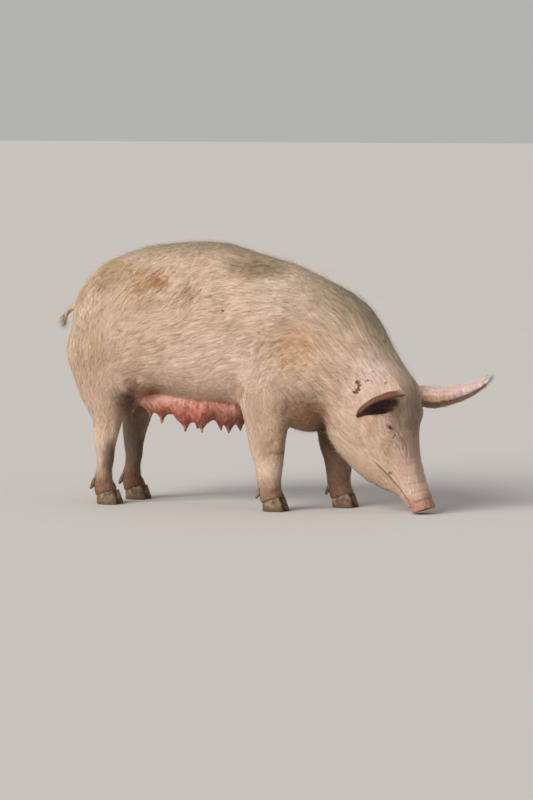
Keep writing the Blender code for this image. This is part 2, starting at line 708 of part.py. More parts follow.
def make_dewclaw(shop, leg, part, where, side, toe):
    """One small claw behind the fetlock, clear of the floor."""
    back, apart, height = DEWCLAW_AT[part]
    root = foot_middle(part, side) + Vector((back, side * toe * apart, height))
    along = Vector((-0.52, side * toe * 0.10, -0.85)).normalized()
    across = along.cross(Vector((0, 1, 0))).normalized()
    wide = along.cross(across)
    rings = []
    for i, radius in enumerate(DEWCLAW_RADII):
        middle = root + along * DEWCLAW_LENGTH * (i / (len(DEWCLAW_RADII) - 1) - 0.25)
        rings.append(
            [
                middle + across * radius * 0.85 * math.cos(angle) + wide * radius * math.sin(angle)
                for angle in np.linspace(0, math.tau, 8, endpoint=False)
            ]
        )
    dewclaw = clear_of(shop, shop.loft("dewclaw", rings), [leg])
    toe_name = "outer" if toe > 0 else "inner"
    shop.node(dewclaw, f"dewclaw_{part}_{where}_{toe_name}", HORN_GREY, 0.55)


def udder_ring(x, low, wide):
    ring = []
    for i in range(24):
        angle = math.tau * i / 24
        high = (UDDER_TOP + low) / 2 + (UDDER_TOP - low) / 2 * power(math.cos(angle), 2.3)
        ring.append(Vector((x, wide * power(math.sin(angle), 2.3), high)))
    return ring


def make_udder(shop, hosts):
    """The milk glands in two rows, each drawn down to its teat."""
    glands = [shop.loft("keel", [udder_ring(*row) for row in spaced(UDDER_SECTIONS, 2)])]
    pieces = []
    for side in SIDES.values():
        for i, (x, tip) in enumerate(TEATS):
            x += 0.010 * math.sin(3 * i + side)
            y = side * (TEAT_ROW + 0.006 * math.cos(2 * i + side))
            glands.append(shop.ball("gland", (x, y, tip + GLAND_ABOVE), GLAND_HALF))
            rings = []
            for up, radius in TEAT_STEPS:
                lean = side * 0.10 * up
                rings.append(
                    [
                        Vector((x + radius * math.cos(a), y - lean + radius * math.sin(a), tip + up))
                        for a in np.linspace(0, math.tau, 12, endpoint=False)
                    ]
                )
            pieces.append(shop.loft("teat", rings))
    pieces.append(fused(shop, "glands", glands, KEEL_VOXEL, KEEL_SMOOTH))
    udder = fused(shop, "udder", pieces, UDDER_VOXEL, UDDER_SMOOTH, UDDER_TRIANGLES)
    return clear_of(shop, udder, hosts)


def tail_locks(shop):
    """Flat locks of bristle that taper and spread from the end of the tail."""
    path = [Vector(point) for point in TAIL_PATH]
    locks = []
    for i in range(TAIL_LOCKS):
        turn = math.tau * i / TAIL_LOCKS
        share = 0.25 + 0.70 * (i * 4 % TAIL_LOCKS) / TAIL_LOCKS
        start = path[-2].lerp(path[-1], share)
        along = (path[-1] - path[-2]).normalized()
        out = Vector((math.cos(turn), math.sin(turn), 0))
        out = (out - along * out.dot(along)).normalized()
        flat = along.cross(out)
        length = LOCK_LENGTH * (0.8 + 0.2 * math.sin(5 * i))
        rings = []
        for step in np.linspace(0, 1, 5):
            middle = start + along * length * step + out * (0.001 + 0.010 * math.sin(1.6 * step))
            middle.z -= 0.006 * step * step
            wide = flat * LOCK_WIDTH / 2 * (1 - 0.85 * step)
            thick = out * LOCK_THICK / 2 * (1 - 0.70 * step)
            rings.append([middle + wide, middle + thick, middle - wide, middle - thick])
        locks.append(shop.loft("lock", rings))
    return locks


def make_tail(shop, torso):
    """A short tail, its root sunk to the rump and cut to it."""
    curve = bpy.data.curves.new("tail", "CURVE")
    curve.dimensions = "3D"
    curve.bevel_depth = 1
    curve.bevel_resolution = 2
    curve.use_fill_caps = True
    spline = curve.splines.new("POLY")
    points = spaced([(*at, radius) for at, radius in zip(TAIL_PATH, TAIL_RADII)], 2)
    spline.points.add(len(points) - 1)
    for point, (x, y, z, radius) in zip(spline.points, points):
        point.co = (x, y, z, 1)
        point.radius = radius
    guide = shop.helper("tail_curve", curve)
    graph = bpy.context.evaluated_depsgraph_get()
    graph.update()
    shape = bmesh.new()
    mesh = bpy.data.meshes.new_from_object(guide.evaluated_get(graph))
    bpy.data.objects.remove(guide)
    shape.from_mesh(mesh)
    bmesh.ops.remove_doubles(shape, verts=shape.verts, dist=0.0001)
    bmesh.ops.recalc_face_normals(shape, faces=shape.faces)
    tail = shop.from_bmesh("tail", shape)
    boolean(tail, "UNION", tail_locks(shop))
    return clear_of(shop, tail, [torso])


def main():
    shop = Shop()
    parts = part_body(shop, make_body(shop))
    head = parts["head"]
    add_disc(shop, head)
    cut_mouth(shop, head)
    for where, side in SIDES.items():
        ear = make_ear(shop, head, side)
        shop.node(ear, f"ear_{where}", EAR_PINK, 0.6)
    for where, side in SIDES.items():
        set_eye(shop, head, where, side)
    for part in LEG_TABLES:
        for where, side in SIDES.items():
            for toe in (-1, 1):
                make_claw(shop, part, where, side, toe)
                make_dewclaw(shop, parts[f"leg_{part}_{where}"], part, where, side, toe)
    hosts = [parts[name] for name in ("torso", "leg_hind_left", "leg_hind_right")]
    shop.node(make_udder(shop, hosts), "udder", UDDER_PINK, 0.6)
    shop.node(make_tail(shop, parts["torso"]), "tail", SKIN_PINK, 0.6)
    for name, obj in parts.items():
        shop.node(obj, name, SKIN_PINK, 0.65)
    corners = np.array(
        [obj.location + vert.co for obj in shop.nodes.objects if obj.data for vert in obj.data.vertices]
    )
    middle = (corners.min(axis=0) + corners.max(axis=0)) / 2
    shop.origin.location = (-middle[0], -middle[1], -corners.min(axis=0)[2])


main()
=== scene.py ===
"""A white farm sow, life-size and still, with its head lowered to root."""

import sys
import logging
import math
from dataclasses import dataclass, field
from enum import Enum

import bmesh
import bpy
import numpy as np
from mathutils import Matrix, Vector
from mathutils.bvhtree import BVHTree


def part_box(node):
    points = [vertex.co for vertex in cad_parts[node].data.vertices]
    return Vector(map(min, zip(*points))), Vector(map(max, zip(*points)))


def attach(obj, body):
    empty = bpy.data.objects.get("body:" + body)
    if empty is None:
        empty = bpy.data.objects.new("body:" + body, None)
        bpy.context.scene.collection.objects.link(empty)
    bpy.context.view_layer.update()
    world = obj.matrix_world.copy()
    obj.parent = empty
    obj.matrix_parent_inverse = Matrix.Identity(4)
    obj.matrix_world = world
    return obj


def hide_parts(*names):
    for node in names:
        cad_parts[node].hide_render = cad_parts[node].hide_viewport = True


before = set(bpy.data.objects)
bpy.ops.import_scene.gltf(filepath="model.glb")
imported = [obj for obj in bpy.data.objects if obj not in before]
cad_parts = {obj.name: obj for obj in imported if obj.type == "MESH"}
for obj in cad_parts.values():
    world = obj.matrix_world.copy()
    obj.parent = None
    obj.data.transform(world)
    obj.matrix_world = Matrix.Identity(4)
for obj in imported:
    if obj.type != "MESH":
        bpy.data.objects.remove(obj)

LOG = logging.getLogger("sow")

Array = np.ndarray
Point = tuple[float, float, float]
Shade = tuple[int, int, int]
Factors = tuple[float, float, float, float]
Mesh = bpy.types.Mesh
Material = bpy.types.Material
Node = bpy.types.Node
Socket = bpy.types.NodeSocket
# A colour of the skin and one of the bristles.
Pair = tuple[object, object]

# Where the zero of the body's own sizes lies in the row frame.
BODY = np.array([-0.0833, 0.0462, 0.0])
EYE_RADIUS = 0.0125
# Vertices of a CAD node nearer than this are one.
MERGE_GAP = 1e-5
# How many steps the weights of a modifier's vertex group have.
WEIGHT_STEPS = 10


class Flesh(Enum):
    """The soft nodes that one skin stands for."""

    TORSO = "torso"
    NECK = "neck"
    HEAD = "head"
    EAR_RIGHT = "ear_right"
    EAR_LEFT = "ear_left"
    LEG_FRONT_RIGHT = "leg_front_right"
    LEG_FRONT_LEFT = "leg_front_left"
    LEG_HIND_RIGHT = "leg_hind_right"
    LEG_HIND_LEFT = "leg_hind_left"
    UDDER = "udder"
    TAIL = "tail"


BOTH_EARS = (Flesh.EAR_RIGHT, Flesh.EAR_LEFT)
LEGS = (Flesh.LEG_FRONT_RIGHT, Flesh.LEG_FRONT_LEFT, Flesh.LEG_HIND_RIGHT, Flesh.LEG_HIND_LEFT)


def unit(vectors: Array) -> Array:
    """Vectors of length one, along the last axis."""
    return vectors / np.maximum(np.linalg.norm(vectors, axis=-1, keepdims=True), 1e-12)


def smooth_step(low: float, high: float, value: Array) -> Array:
    """0 below low, 1 above high, and a smooth rise between."""
    share = np.clip((value - low) / (high - low), 0, 1)
    return share * share * (3 - 2 * share)


def linear(shade: Shade) -> tuple[float, float, float, float]:
    """A screen colour of 0 to 255 as the linear colour of a socket."""
    parts = [v / 255 for v in shade]
    return (*[v / 12.92 if v <= 0.04045 else ((v + 0.055) / 1.055) ** 2.4 for v in parts], 1.0)


def fetched(rows: bpy.types.bpy_prop_collection, name: str, width: int, kind: type = np.float32) -> Array:
    """Reads one property of every row of a collection.

    Args:
        rows: The collection, such as a mesh's vertices.
        name: The property.
        width: How many numbers it has in each row.
        kind: Their type.

    Returns:
        An array with a row for each.
    """
    flat = np.empty(len(rows) * width, kind)
    rows.foreach_get(name, flat)
    return flat.reshape(-1, width)


def points_of(mesh: Mesh) -> Array:
    """The vertices in the body's own frame."""
    return fetched(mesh.vertices, "co", 3).astype(float) - BODY


def set_points(mesh: Mesh, at: Array) -> None:
    """Moves the vertices to places given in the body's own frame."""
    mesh.vertices.foreach_set("co", (at + BODY).astype(np.float32).ravel())
    mesh.update()


def normals_of(mesh: Mesh) -> Array:
    """The normals at the vertices."""
    return fetched(mesh.vertex_normals, "vector", 3).astype(float)


def edges_of(mesh: Mesh) -> Array:
    """The vertex numbers of each edge."""
    return fetched(mesh.edges, "vertices", 2, np.int32)


def triangles_of(mesh: Mesh) -> Array:
    """The vertex numbers of each triangle."""
    mesh.calc_loop_triangles()
    return fetched(mesh.loop_triangles, "vertices", 3, np.int32)


def tree_of(mesh: Mesh) -> BVHTree:
    """A search tree over a mesh, in the body's own frame."""
    return BVHTree.FromPolygons(points_of(mesh).tolist(), triangles_of(mesh).tolist())


def store(mesh: Mesh, name: str, values: Array) -> None:
    """Stores a number at each vertex, which the finishes read by its name."""
    layer = mesh.attributes.new(name, "FLOAT", "POINT")
    layer.data.foreach_set("value", values.astype(np.float32))


def nearest(tree: BVHTree, at: Array) -> tuple[Array, Array, Array]:
    """Finds the nearest point of a surface to each place.

    Args:
        tree: The surface.
        at: Places, one in each row.

    Returns:
        The points, the normals there, and the number of the face that holds each.
    """
    found = [tree.find_nearest(p) for p in at.tolist()]
    place = np.array([f[0] for f in found])
    normal = np.array([f[1] for f in found])
    face = np.array([f[2] for f in found])
    return place, normal, face


def relaxed(at: Array, edges: Array, weight: Array, rounds: int) -> Array:
    """Moves each vertex towards the middle of its neighbours.

    Args:
        at: The vertices.
        edges: The vertex numbers of each edge.
        weight: 0 to 1 for each vertex, how far it follows.
        rounds: How often.

    Returns:
        The new places.
    """
    a, b = edges.T
    count = len(at)
    degree = np.bincount(a, minlength=count) + np.bincount(b, minlength=count)
    pull = (0.5 * weight / np.maximum(degree, 1))[:, None]
    keep = (1 - 0.5 * weight)[:, None]
    for _ in range(rounds):
        total = np.stack(
            [np.bincount(a, at[b, k], count) + np.bincount(b, at[a, k], count) for k in range(at.shape[1])], 1
        )
        at = at * keep + total * pull
    return at


def largest_shell(count: int, edges: Array) -> Array:
    """Finds the largest connected surface.

    Args:
        count: How many vertices there are.
        edges: The vertex numbers of each edge.

    Returns:
        True for each vertex of that surface.
    """
    label = np.arange(count)
    while True:
        low = np.minimum(label[edges[:, 0]], label[edges[:, 1]])
        new = label.copy()
        np.minimum.at(new, edges[:, 0], low)
        np.minimum.at(new, edges[:, 1], low)
        new = new[new]
        if (new == label).all():
            break
        label = new
    return label == np.bincount(label).argmax()


def placed(name: str, data: bpy.types.ID) -> bpy.types.Object:
    """Puts a new object in the scene."""
    obj = bpy.data.objects.new(name, data)
    bpy.context.scene.collection.objects.link(obj)
    return obj


def shape_of(mesh: Mesh) -> bmesh.types.BMesh:
    """Copies a mesh as a shape to edit."""
    shape = bmesh.new()
    shape.from_mesh(mesh)
    shape.verts.ensure_lookup_table()
    return shape


def filled(mesh: Mesh, shape: bmesh.types.BMesh) -> Mesh:
    """Writes a shape into a mesh, and frees the shape."""
    shape.to_mesh(mesh)
    shape.free()
    return mesh


def merged(name: str) -> bmesh.types.BMesh:
    """Copies one CAD node, with its loose triangles joined."""
    shape = shape_of(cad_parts[name].data)
    bmesh.ops.remove_doubles(shape, verts=shape.verts, dist=MERGE_GAP)
    return shape


def modified(mesh: Mesh, kind: str, weights: Array | None = None, **sizes: object) -> Mesh:
    """Applies one modifier to a mesh.

    Args:
        mesh: The mesh, which is removed.
        kind: The modifier's type.
        weights: A weight for each vertex, where the modifier takes a group.
        sizes: The modifier's own settings.

    Returns:
        The new mesh.
    """
    obj = placed("work", mesh)
    modifier = obj.modifiers.new(kind.lower(), kind)
    if weights is not None:
        group = obj.vertex_groups.new(name="weights")
        for level in range(WEIGHT_STEPS + 1):
            chosen = np.flatnonzero(np.rint(weights * WEIGHT_STEPS) == level)
            group.add(chosen.tolist(), level / WEIGHT_STEPS, "REPLACE")
        modifier.vertex_group = group.name
    for name, value in sizes.items():
        setattr(modifier, name, value)
    new = bpy.data.meshes.new_from_object(obj.evaluated_get(bpy.context.evaluated_depsgraph_get()))
    bpy.data.objects.remove(obj)
    bpy.data.meshes.remove(mesh)
    return new


def piece_from(mesh: Mesh, name: str) -> bpy.types.Object:
    """Puts a mesh in the scene as a piece that rides on the body."""
    obj = placed(name, mesh)
    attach(obj, "root")
    return obj


def report(name: str, mesh: Mesh) -> None:
    """Logs how many triangles a piece has."""
    LOG.info("%s: %d triangles", name, len(triangles_of(mesh)))


@dataclass(frozen=True)
class EarForm:
    """The spine of one ear, and the way its cup faces along it.

    The root is in the body's own frame, and the bend from root to tip is in radians.
    """

    root: Point
    along: Point
    facing: Point
    bend: float
    length: float = 0.265
    steps: int = 16

    def frames(self) -> tuple[Array, Array, Array]:
        """The points of the spine, and there the way to the tip and the way the cup faces."""
        along = Vector(self.along).normalized()
        facing = Vector(self.facing)
        facing = (facing - along * facing.dot(along)).normalized()
        across = along.cross(facing)
        spine = [Vector(self.root)]
        ways = []
        faces = []
        for i in range(self.steps + 1):
            turn = Matrix.Rotation(-self.bend * (i / self.steps) ** 2, 3, across)
            ways.append(turn @ along)
            faces.append(turn @ facing)
            spine.append(spine[-1] + ways[-1] * self.length / self.steps)
        return np.array(spine[:-1]), np.array(ways), np.array(faces)

    def measure(self, at: Array) -> tuple[Array, Array, Array]:
        """Finds where places lie on the ear.

        Args:
            at: Places on the ear.

        Returns:
            The share of the length from the root, the way to the tip and the way of the cup.
        """
        spine, ways, faces = self.frames()
        gap = np.linalg.norm(at[:, None] - spine[None], axis=2)
        step = gap.argmin(axis=1)
        return step / self.steps, ways[step], faces[step]


EARS = {
    Flesh.EAR_RIGHT: EarForm((0.614, -0.068, 0.402), (-0.20, -0.95, -0.10), (0.72, -0.06, -0.68), -0.50),
    Flesh.EAR_LEFT: EarForm((0.612, 0.070, 0.414), (0.84, 0.50, -0.06), (0.10, -0.34, -0.92), 0.70),
}


@dataclass(frozen=True)
class EyeForm:
    """The opening of one eye, set on the ball of the CAD node.

    The slit's middle is given in the side view, its tilt in degrees and its size in halves.
    The skin is tucked in under the ball, and a rim and a wrinkle run round the slit.
    """

    side: int
    at: tuple[float, float] = (0.602, 0.290)
    sunk: float = 0.0105
    tilt: float = -36.0
    half: tuple[float, float] = (0.0118, 0.0036)
    lid: float = 0.0013
    lid_curve: float = 0.8
    tuck: float = 0.0024
    rim: Point = (0.0005, 0.0014, 0.0009)
    wrinkle: Point = (0.0006, 0.0036, 0.0008)

    @property
    def node(self) -> str:
        """The CAD node of the ball."""
        return "eye_right" if self.side < 0 else "eye_left"

    def frame(self) -> tuple[Array, Array, Array, Array]:
        """The middle of the ball, and the ways along the slit, across it and outwards."""
        name = self.node
        low, high = (np.array(corner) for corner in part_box(name))
        middle = (low + high) / 2 - BODY
        x = (self.at[0] - middle[0]) / self.sunk
        z = (self.at[1] - middle[2]) / self.sunk
        outward = np.array([x, self.side * math.sqrt(max(1 - x * x - z * z, 0.01)), z])
        outward = unit(outward)
        tilt = math.radians(self.tilt)
        along = np.array([math.cos(tilt), 0, math.sin(tilt)])
        along = unit(along - outward * along.dot(outward))
        return middle, along, np.cross(outward, along), outward

    def gap(self, at: Array) -> tuple[Array, Array]:
        """How far places lie outside the slit.

        Args:
            at: Places on the face.

        Returns:
            The distance from the edge of the slit, negative in it, and the distance from the ball's middle.
        """
        middle, along, across, outward = self.frame()
        rel = at - middle
        a = rel @ along
        b = rel @ across
        long, high = self.half
        lid = high * np.clip(1 - (a / long) ** 2, 0, 1) ** self.lid_curve
        corner = np.maximum(np.abs(a) - long, 0)
        out = np.hypot(np.maximum(np.abs(b) - lid, 0), corner)
        inside = np.where(np.abs(a) < long, np.minimum(np.abs(b) - lid, 0), 0)
        q = np.where(out > 0, out, inside)
        return np.where(rel @ outward > 0, q, 1.0), np.linalg.norm(rel, axis=1)

    def ridge(self, q: Array, form: Point) -> Array:
        """The rise of a ring round the slit, by its height, its distance and its width."""
        height, at, wide = form
        return height * np.exp(-(((q - at) / wide) ** 2))


@dataclass(frozen=True)
class Fold:
    """A crease of the skin along a path seen from the side, on both sides.

    A crease that runs around shows on skin that faces front or back as well.
    """

    path: tuple[tuple[float, float], ...]
    wide: float
    deep: float
    around: bool = False
    lip: float = 0.35
    lip_at: float = 2.1
    run_out: float = 0.22

    def push(self, at: Array, normals: Array) -> Array:
        """Works out the relief of the fold.

        Args:
            at: Places on the skin.
            normals: The normals there.

        Returns:
            How far the fold lifts each place, in metres, negative in the crease.
        """
        flat = at[:, (0, 2)]
        path = np.array(self.path)
        reach = self.wide * 4
        near = ((flat > path.min(axis=0) - reach) & (flat < path.max(axis=0) + reach)).all(axis=1)
        lift = np.zeros(len(at))
        if not near.any():
            return lift
        here = flat[near]
        best = np.full(len(here), 1.0)
        share = np.zeros(len(here))
        for i, (p, q) in enumerate(zip(path[:-1], path[1:])):
            way = q - p
            t = np.clip((here - p) @ way / (way @ way), 0, 1)
            gap = np.linalg.norm(here - p - t[:, None] * way, axis=1)
            closer = gap < best
            best = np.where(closer, gap, best)
            share = np.where(closer, (i + t) / (len(path) - 1), share)
        fade = smooth_step(0, self.run_out, share) * smooth_step(0, self.run_out, 1 - share)
        shape = -np.exp(-((best / self.wide) ** 2))
        shape += self.lip * np.exp(-(((best - self.lip_at * self.wide) / self.wide) ** 2))
        turned = normals[near]
        seen = 1.0 if self.around else smooth_step(0.12, 0.45, np.abs(turned[:, 1]))
        lift[near] = self.deep * shape * fade * seen
        return lift


MOUTH = ((0.545, 0.172), (0.553, 0.158), (0.586, 0.122), (0.613, 0.090), (0.634, 0.056), (0.655, 0.014))
FOLDS = (
    Fold(MOUTH, 0.0034, 0.0062),
    Fold(((0.562, 0.172), (0.543, 0.182), (0.533, 0.204)), 0.0045, 0.0022),
    Fold(((0.725, 0.060), (0.692, 0.046), (0.662, 0.034)), 0.0045, 0.0026, around=True),
    Fold(((0.712, 0.084), (0.680, 0.074), (0.655, 0.066)), 0.0040, 0.0014, around=True),
    Fold(((0.702, 0.112), (0.668, 0.100), (0.642, 0.096)), 0.0040, 0.0014, around=True),
    Fold(((0.693, 0.140), (0.660, 0.128), (0.636, 0.128)), 0.0045, 0.0012, around=True),
    Fold(((0.678, 0.178), (0.650, 0.160), (0.622, 0.156)), 0.0050, 0.0012, around=True),
    Fold(((0.583, 0.336), (0.580, 0.300), (0.590, 0.262), (0.606, 0.244)), 0.0034, 0.0010),
    Fold(((0.568, 0.338), (0.563, 0.296), (0.574, 0.250), (0.596, 0.226)), 0.0040, 0.0010),
    Fold(((0.576, 0.302), (0.590, 0.312), (0.607, 0.313), (0.624, 0.302)), 0.0019, 0.0017),
    Fold(((0.572, 0.312), (0.588, 0.323), (0.608, 0.325), (0.628, 0.314)), 0.0021, 0.0018),
    Fold(((0.574, 0.325), (0.592, 0.336), (0.612, 0.338)), 0.0023, 0.0015),
    Fold(((0.572, 0.290), (0.580, 0.279), (0.594, 0.270), (0.612, 0.266)), 0.0019, 0.0017),
    Fold(((0.566, 0.284), (0.575, 0.270), (0.590, 0.260)), 0.0021, 0.0016),
    Fold(((0.618, 0.270), (0.615, 0.260), (0.607, 0.250)), 0.0018, 0.0022),
    Fold(((0.624, 0.282), (0.630, 0.262), (0.636, 0.236), (0.640, 0.206)), 0.0024, 0.0018),
    Fold(((0.632, 0.262), (0.642, 0.238), (0.647, 0.206), (0.646, 0.170)), 0.0026, 0.0017),
    Fold(((0.612, 0.240), (0.626, 0.218), (0.634, 0.190)), 0.0026, 0.0012),
    Fold(((0.624, 0.340), (0.636, 0.310), (0.634, 0.270)), 0.0036, 0.0024),
    Fold(((0.640, 0.345), (0.650, 0.305), (0.646, 0.262)), 0.0045, 0.0010, around=True),
    Fold(((0.520, 0.330), (0.500, 0.265), (0.512, 0.195)), 0.012, 0.0028),
    Fold(((0.478, 0.530), (0.440, 0.450), (0.402, 0.350), (0.366, 0.262)), 0.020, 0.0085),
    Fold(((0.424, 0.640), (0.388, 0.540), (0.362, 0.430), (0.346, 0.330)), 0.018, 0.0036),
    Fold(((0.318, 0.680), (0.283, 0.580), (0.282, 0.470), (0.300, 0.390)), 0.028, 0.0085),
    Fold(((0.068, 0.480), (0.078, 0.420), (0.096, 0.352)), 0.015, 0.0110),
    Fold(((0.262, 0.430), (0.268, 0.370), (0.252, 0.318)), 0.012, 0.0050),
    Fold(((0.238, 0.390), (0.232, 0.350), (0.214, 0.318)), 0.008, 0.0020),
    Fold(((-0.262, 0.520), (-0.288, 0.455), (-0.335, 0.385)), 0.017, 0.0090),
    Fold(((-0.226, 0.480), (-0.262, 0.425), (-0.320, 0.366)), 0.011, 0.0028),
    Fold(((-0.528, 0.640), (-0.548, 0.560), (-0.540, 0.480)), 0.014, 0.0050),
    Fold(((-0.462, 0.330), (-0.470, 0.285), (-0.462, 0.250)), 0.009, 0.0030),
    Fold(((-0.395, 0.300), (-0.402, 0.262), (-0.400, 0.225)), 0.008, 0.0022),
    Fold(((0.215, 0.250), (0.205, 0.222), (0.178, 0.212)), 0.007, 0.0016),
    Fold(((0.212, 0.205), (0.198, 0.188), (0.172, 0.184)), 0.006, 0.0014),
    Fold(((0.225, 0.075), (0.200, 0.066), (0.170, 0.070)), 0.0055, 0.0022),
    Fold(((-0.405, 0.085), (-0.430, 0.074), (-0.458, 0.080)), 0.0055, 0.0020),
)


@dataclass
class Hide:
    """The one skin over trunk, neck, head, ears, legs, udder and tail.

    Lengths are in metres. From 0 to 1, ear_give says how far the ears follow in smoothing,
    foot_stiff how little the feet do, head_thinned how far head and ears are thinned out,
    and limb_thinned how far legs, udder and tail are.
    """

    voxel: float = 0.003
    ear_grow: float = 0.0010
    plug_grow: float = 0.0012
    trunk_rounds: int = 90
    body_rounds: int = 12
    ear_give: float = 0.55
    foot_stiff: float = 0.60
    kept: float = 0.22
    head_thinned: float = 0.12
    limb_thinned: float = 0.45
    fine_rings: tuple[float, ...] = (0.030, 0.022, 0.014)
    fine_mouth: float = 0.010
    depth: float = 0.0016
    head_depth: float = 0.0010
    ear_depth: float = 0.0008
    foot_depth: float = 0.0004
    bare_depth: float = 0.0003
    coronet: float = 0.0020
    swelling: float = 0.0007
    udder_crease: float = 0.0013
    vein: float = 0.0005
    left_cup: float = 0.45
    ruddy_view: Point = (0.42, -0.9, 0.07)
    tail_path: tuple[tuple[Point, float], ...] = (
        ((-0.520, 0.0, 0.625), 0.030),
        ((-0.545, 0.0, 0.650), 0.026),
        ((-0.590, 0.002, 0.660), 0.018),
        ((-0.624, 0.006, 0.653), 0.0125),
        ((-0.645, 0.010, 0.633), 0.0095),
        ((-0.652, 0.012, 0.612), 0.0055),
    )
    eyes: tuple[EyeForm, ...] = (EyeForm(-1), EyeForm(1))
    mesh: Mesh = field(init=False)
    tree: BVHTree = field(init=False)
    at: Array = field(init=False)
    normals: Array = field(init=False)
    flesh: Array = field(init=False)
    marks: dict[str, Array] = field(init=False)

    def node_copy(self, part: Flesh) -> Mesh:
        """A merged copy of one node, a little thicker where it is an ear."""
        shape = merged(part.value)
        if part in BOTH_EARS:
            shape.normal_update()
            for vert in shape.verts:
                vert.co += vert.normal * self.ear_grow
        return filled(bpy.data.meshes.new(part.value), shape)

    def tail_core(self) -> Mesh:
        """A round core along the tail, without its locks."""
        shape = bmesh.new()
        rings = []
        path = [Vector(p) for p, _ in self.tail_path]
        for i, (place, radius) in enumerate(self.tail_path):
            way = (path[min(i + 1, len(path) - 1)] - path[max(i - 1, 0)]).normalized()
            turn = way.to_track_quat("Z", "Y").to_matrix().to_4x4()
            matrix = Matrix.Translation(Vector(place) + Vector(BODY)) @ turn
            made = bmesh.ops.create_circle(shape, segments=20, radius=radius, matrix=matrix)
            rings.append(made["verts"])
        for a, b in zip(rings[:-1], rings[1:]):
            around = {e for v in a + b for e in v.link_edges if e.other_vert(v) in a + b}
            rims = [e for e in around if len({v in a for v in e.verts}) == 1]
            bmesh.ops.bridge_loops(shape, edges=rims)
        bmesh.ops.holes_fill(shape, edges=[e for e in shape.edges if e.is_boundary])
        bmesh.ops.recalc_face_normals(shape, faces=shape.faces)
        return filled(bpy.data.meshes.new("tail_core"), shape)

    def gather(self) -> Mesh:
        """All the flesh in one mesh, with the eye sockets plugged."""
        shape = bmesh.new()
        for part in Flesh:
            mesh = self.tail_core() if part is Flesh.TAIL else self.node_copy(part)
            shape.from_mesh(mesh)
            bpy.data.meshes.remove(mesh)
        for eye in self.eyes:
            middle, *_ = eye.frame()
            matrix = Matrix.Translation(Vector(middle + BODY))
            radius = EYE_RADIUS + self.plug_grow
            bmesh.ops.create_icosphere(shape, subdivisions=3, radius=radius, matrix=matrix)
        return filled(bpy.data.meshes.new("gathered"), shape)

    def only_largest(self, mesh: Mesh) -> None:
        """Drops every shell but the largest, such as a pocket where two nodes met."""
        keep = largest_shell(len(mesh.vertices), edges_of(mesh))
        if keep.all():
            return
        shape = shape_of(mesh)
        drop = [shape.verts[i] for i in np.flatnonzero(~keep)]
        bmesh.ops.delete(shape, geom=drop, context="VERTS")
        filled(mesh, shape)

    def parts_at(self, at: Array) -> Array:
        """The number of the flesh node that each place is nearest to."""
        places = []
        faces = []
        owner = []
        start = 0
        for i, part in enumerate(Flesh):
            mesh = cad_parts[part.value].data
            places.append(points_of(mesh))
            tris = triangles_of(mesh)
            faces.append(tris + start)
            owner += [i] * len(tris)
            start += len(mesh.vertices)
        tree = BVHTree.FromPolygons(np.concatenate(places).tolist(), np.concatenate(faces).tolist())
        found = nearest(tree, at)[2]
        return np.array(owner)[found]

    def is_part(self, *parts: Flesh) -> Array:
        """Marks the vertices of some of the flesh nodes."""
        numbers = [list(Flesh).index(p) for p in parts]
        return np.isin(self.flesh, numbers)

    def read(self) -> None:
        """Reads places and normals again after the mesh has changed."""
        self.at = points_of(self.mesh)
        self.normals = normals_of(self.mesh)

    def plain(self) -> Array:
        """1 on the broad trunk, neck and thighs, 0 on head, ears, legs, udder and tail."""
        x, _, z = self.at.T
        trunk = self.is_part(Flesh.TORSO, Flesh.NECK).astype(float)
        legs = self.is_part(*LEGS)
        trunk = np.maximum(trunk, legs * smooth_step(0.36, 0.44, z))
        head = self.is_part(Flesh.HEAD)
        trunk = np.maximum(trunk, head * (1 - smooth_step(0.44, 0.50, x + 0.3 * (z - 0.35))))
        tail = np.linalg.norm(self.at - np.array([-0.58, 0, 0.655]), axis=1)
        return trunk * smooth_step(0.05, 0.09, tail)

    def smooth(self) -> None:
        """Takes the steps and facets out of the remeshed surface."""
        edges = edges_of(self.mesh)
        ears = self.is_part(*BOTH_EARS)
        low = smooth_step(0.10, 0.05, self.at[:, 2])
        weight = np.where(ears, self.ear_give, 1 - self.foot_stiff * low)
        at = relaxed(self.at, edges, weight, self.body_rounds)
        at = relaxed(at, edges, self.plain(), self.trunk_rounds)
        set_points(self.mesh, at)
        self.read()

    def thin_out(self) -> None:
        """Fewer faces on the broad parts, and all of them on head and ears."""
        weights = self.head_thinned + (1 - self.head_thinned) * self.plain()
        limbs = self.is_part(*LEGS, Flesh.UDDER, Flesh.TAIL)
        weights[limbs] = np.maximum(weights[limbs], self.limb_thinned)
        self.mesh = modified(self.mesh, "DECIMATE", weights, ratio=self.kept, vertex_group_factor=1.0)
        self.read()
        self.flesh = self.parts_at(self.at)

    def refine(self) -> None:
        """Small faces round the eyes and along the mouth."""
        for reach in self.fine_rings:
            self.read()
            near = np.zeros(len(self.at), bool)
            for eye in self.eyes:
                middle, *_ = eye.frame()
                near |= np.linalg.norm(self.at - middle, axis=1) < reach
            if reach == self.fine_rings[0]:
                near |= Fold(MOUTH, self.fine_mouth / 1.5, 1.0).push(self.at, self.normals) < -0.3
            shape = shape_of(self.mesh)
            chosen = {shape.verts[i] for i in np.flatnonzero(near)}
            edges = [e for e in shape.edges if e.verts[0] in chosen and e.verts[1] in chosen]
            bmesh.ops.subdivide_edges(shape, edges=edges, cuts=1, use_grid_fill=True, smooth=0.0)
            bmesh.ops.triangulate(shape, faces=[f for f in shape.faces if len(f.verts) > 3])
            filled(self.mesh, shape)
        self.mesh.update()
        self.read()
        self.flesh = self.parts_at(self.at)

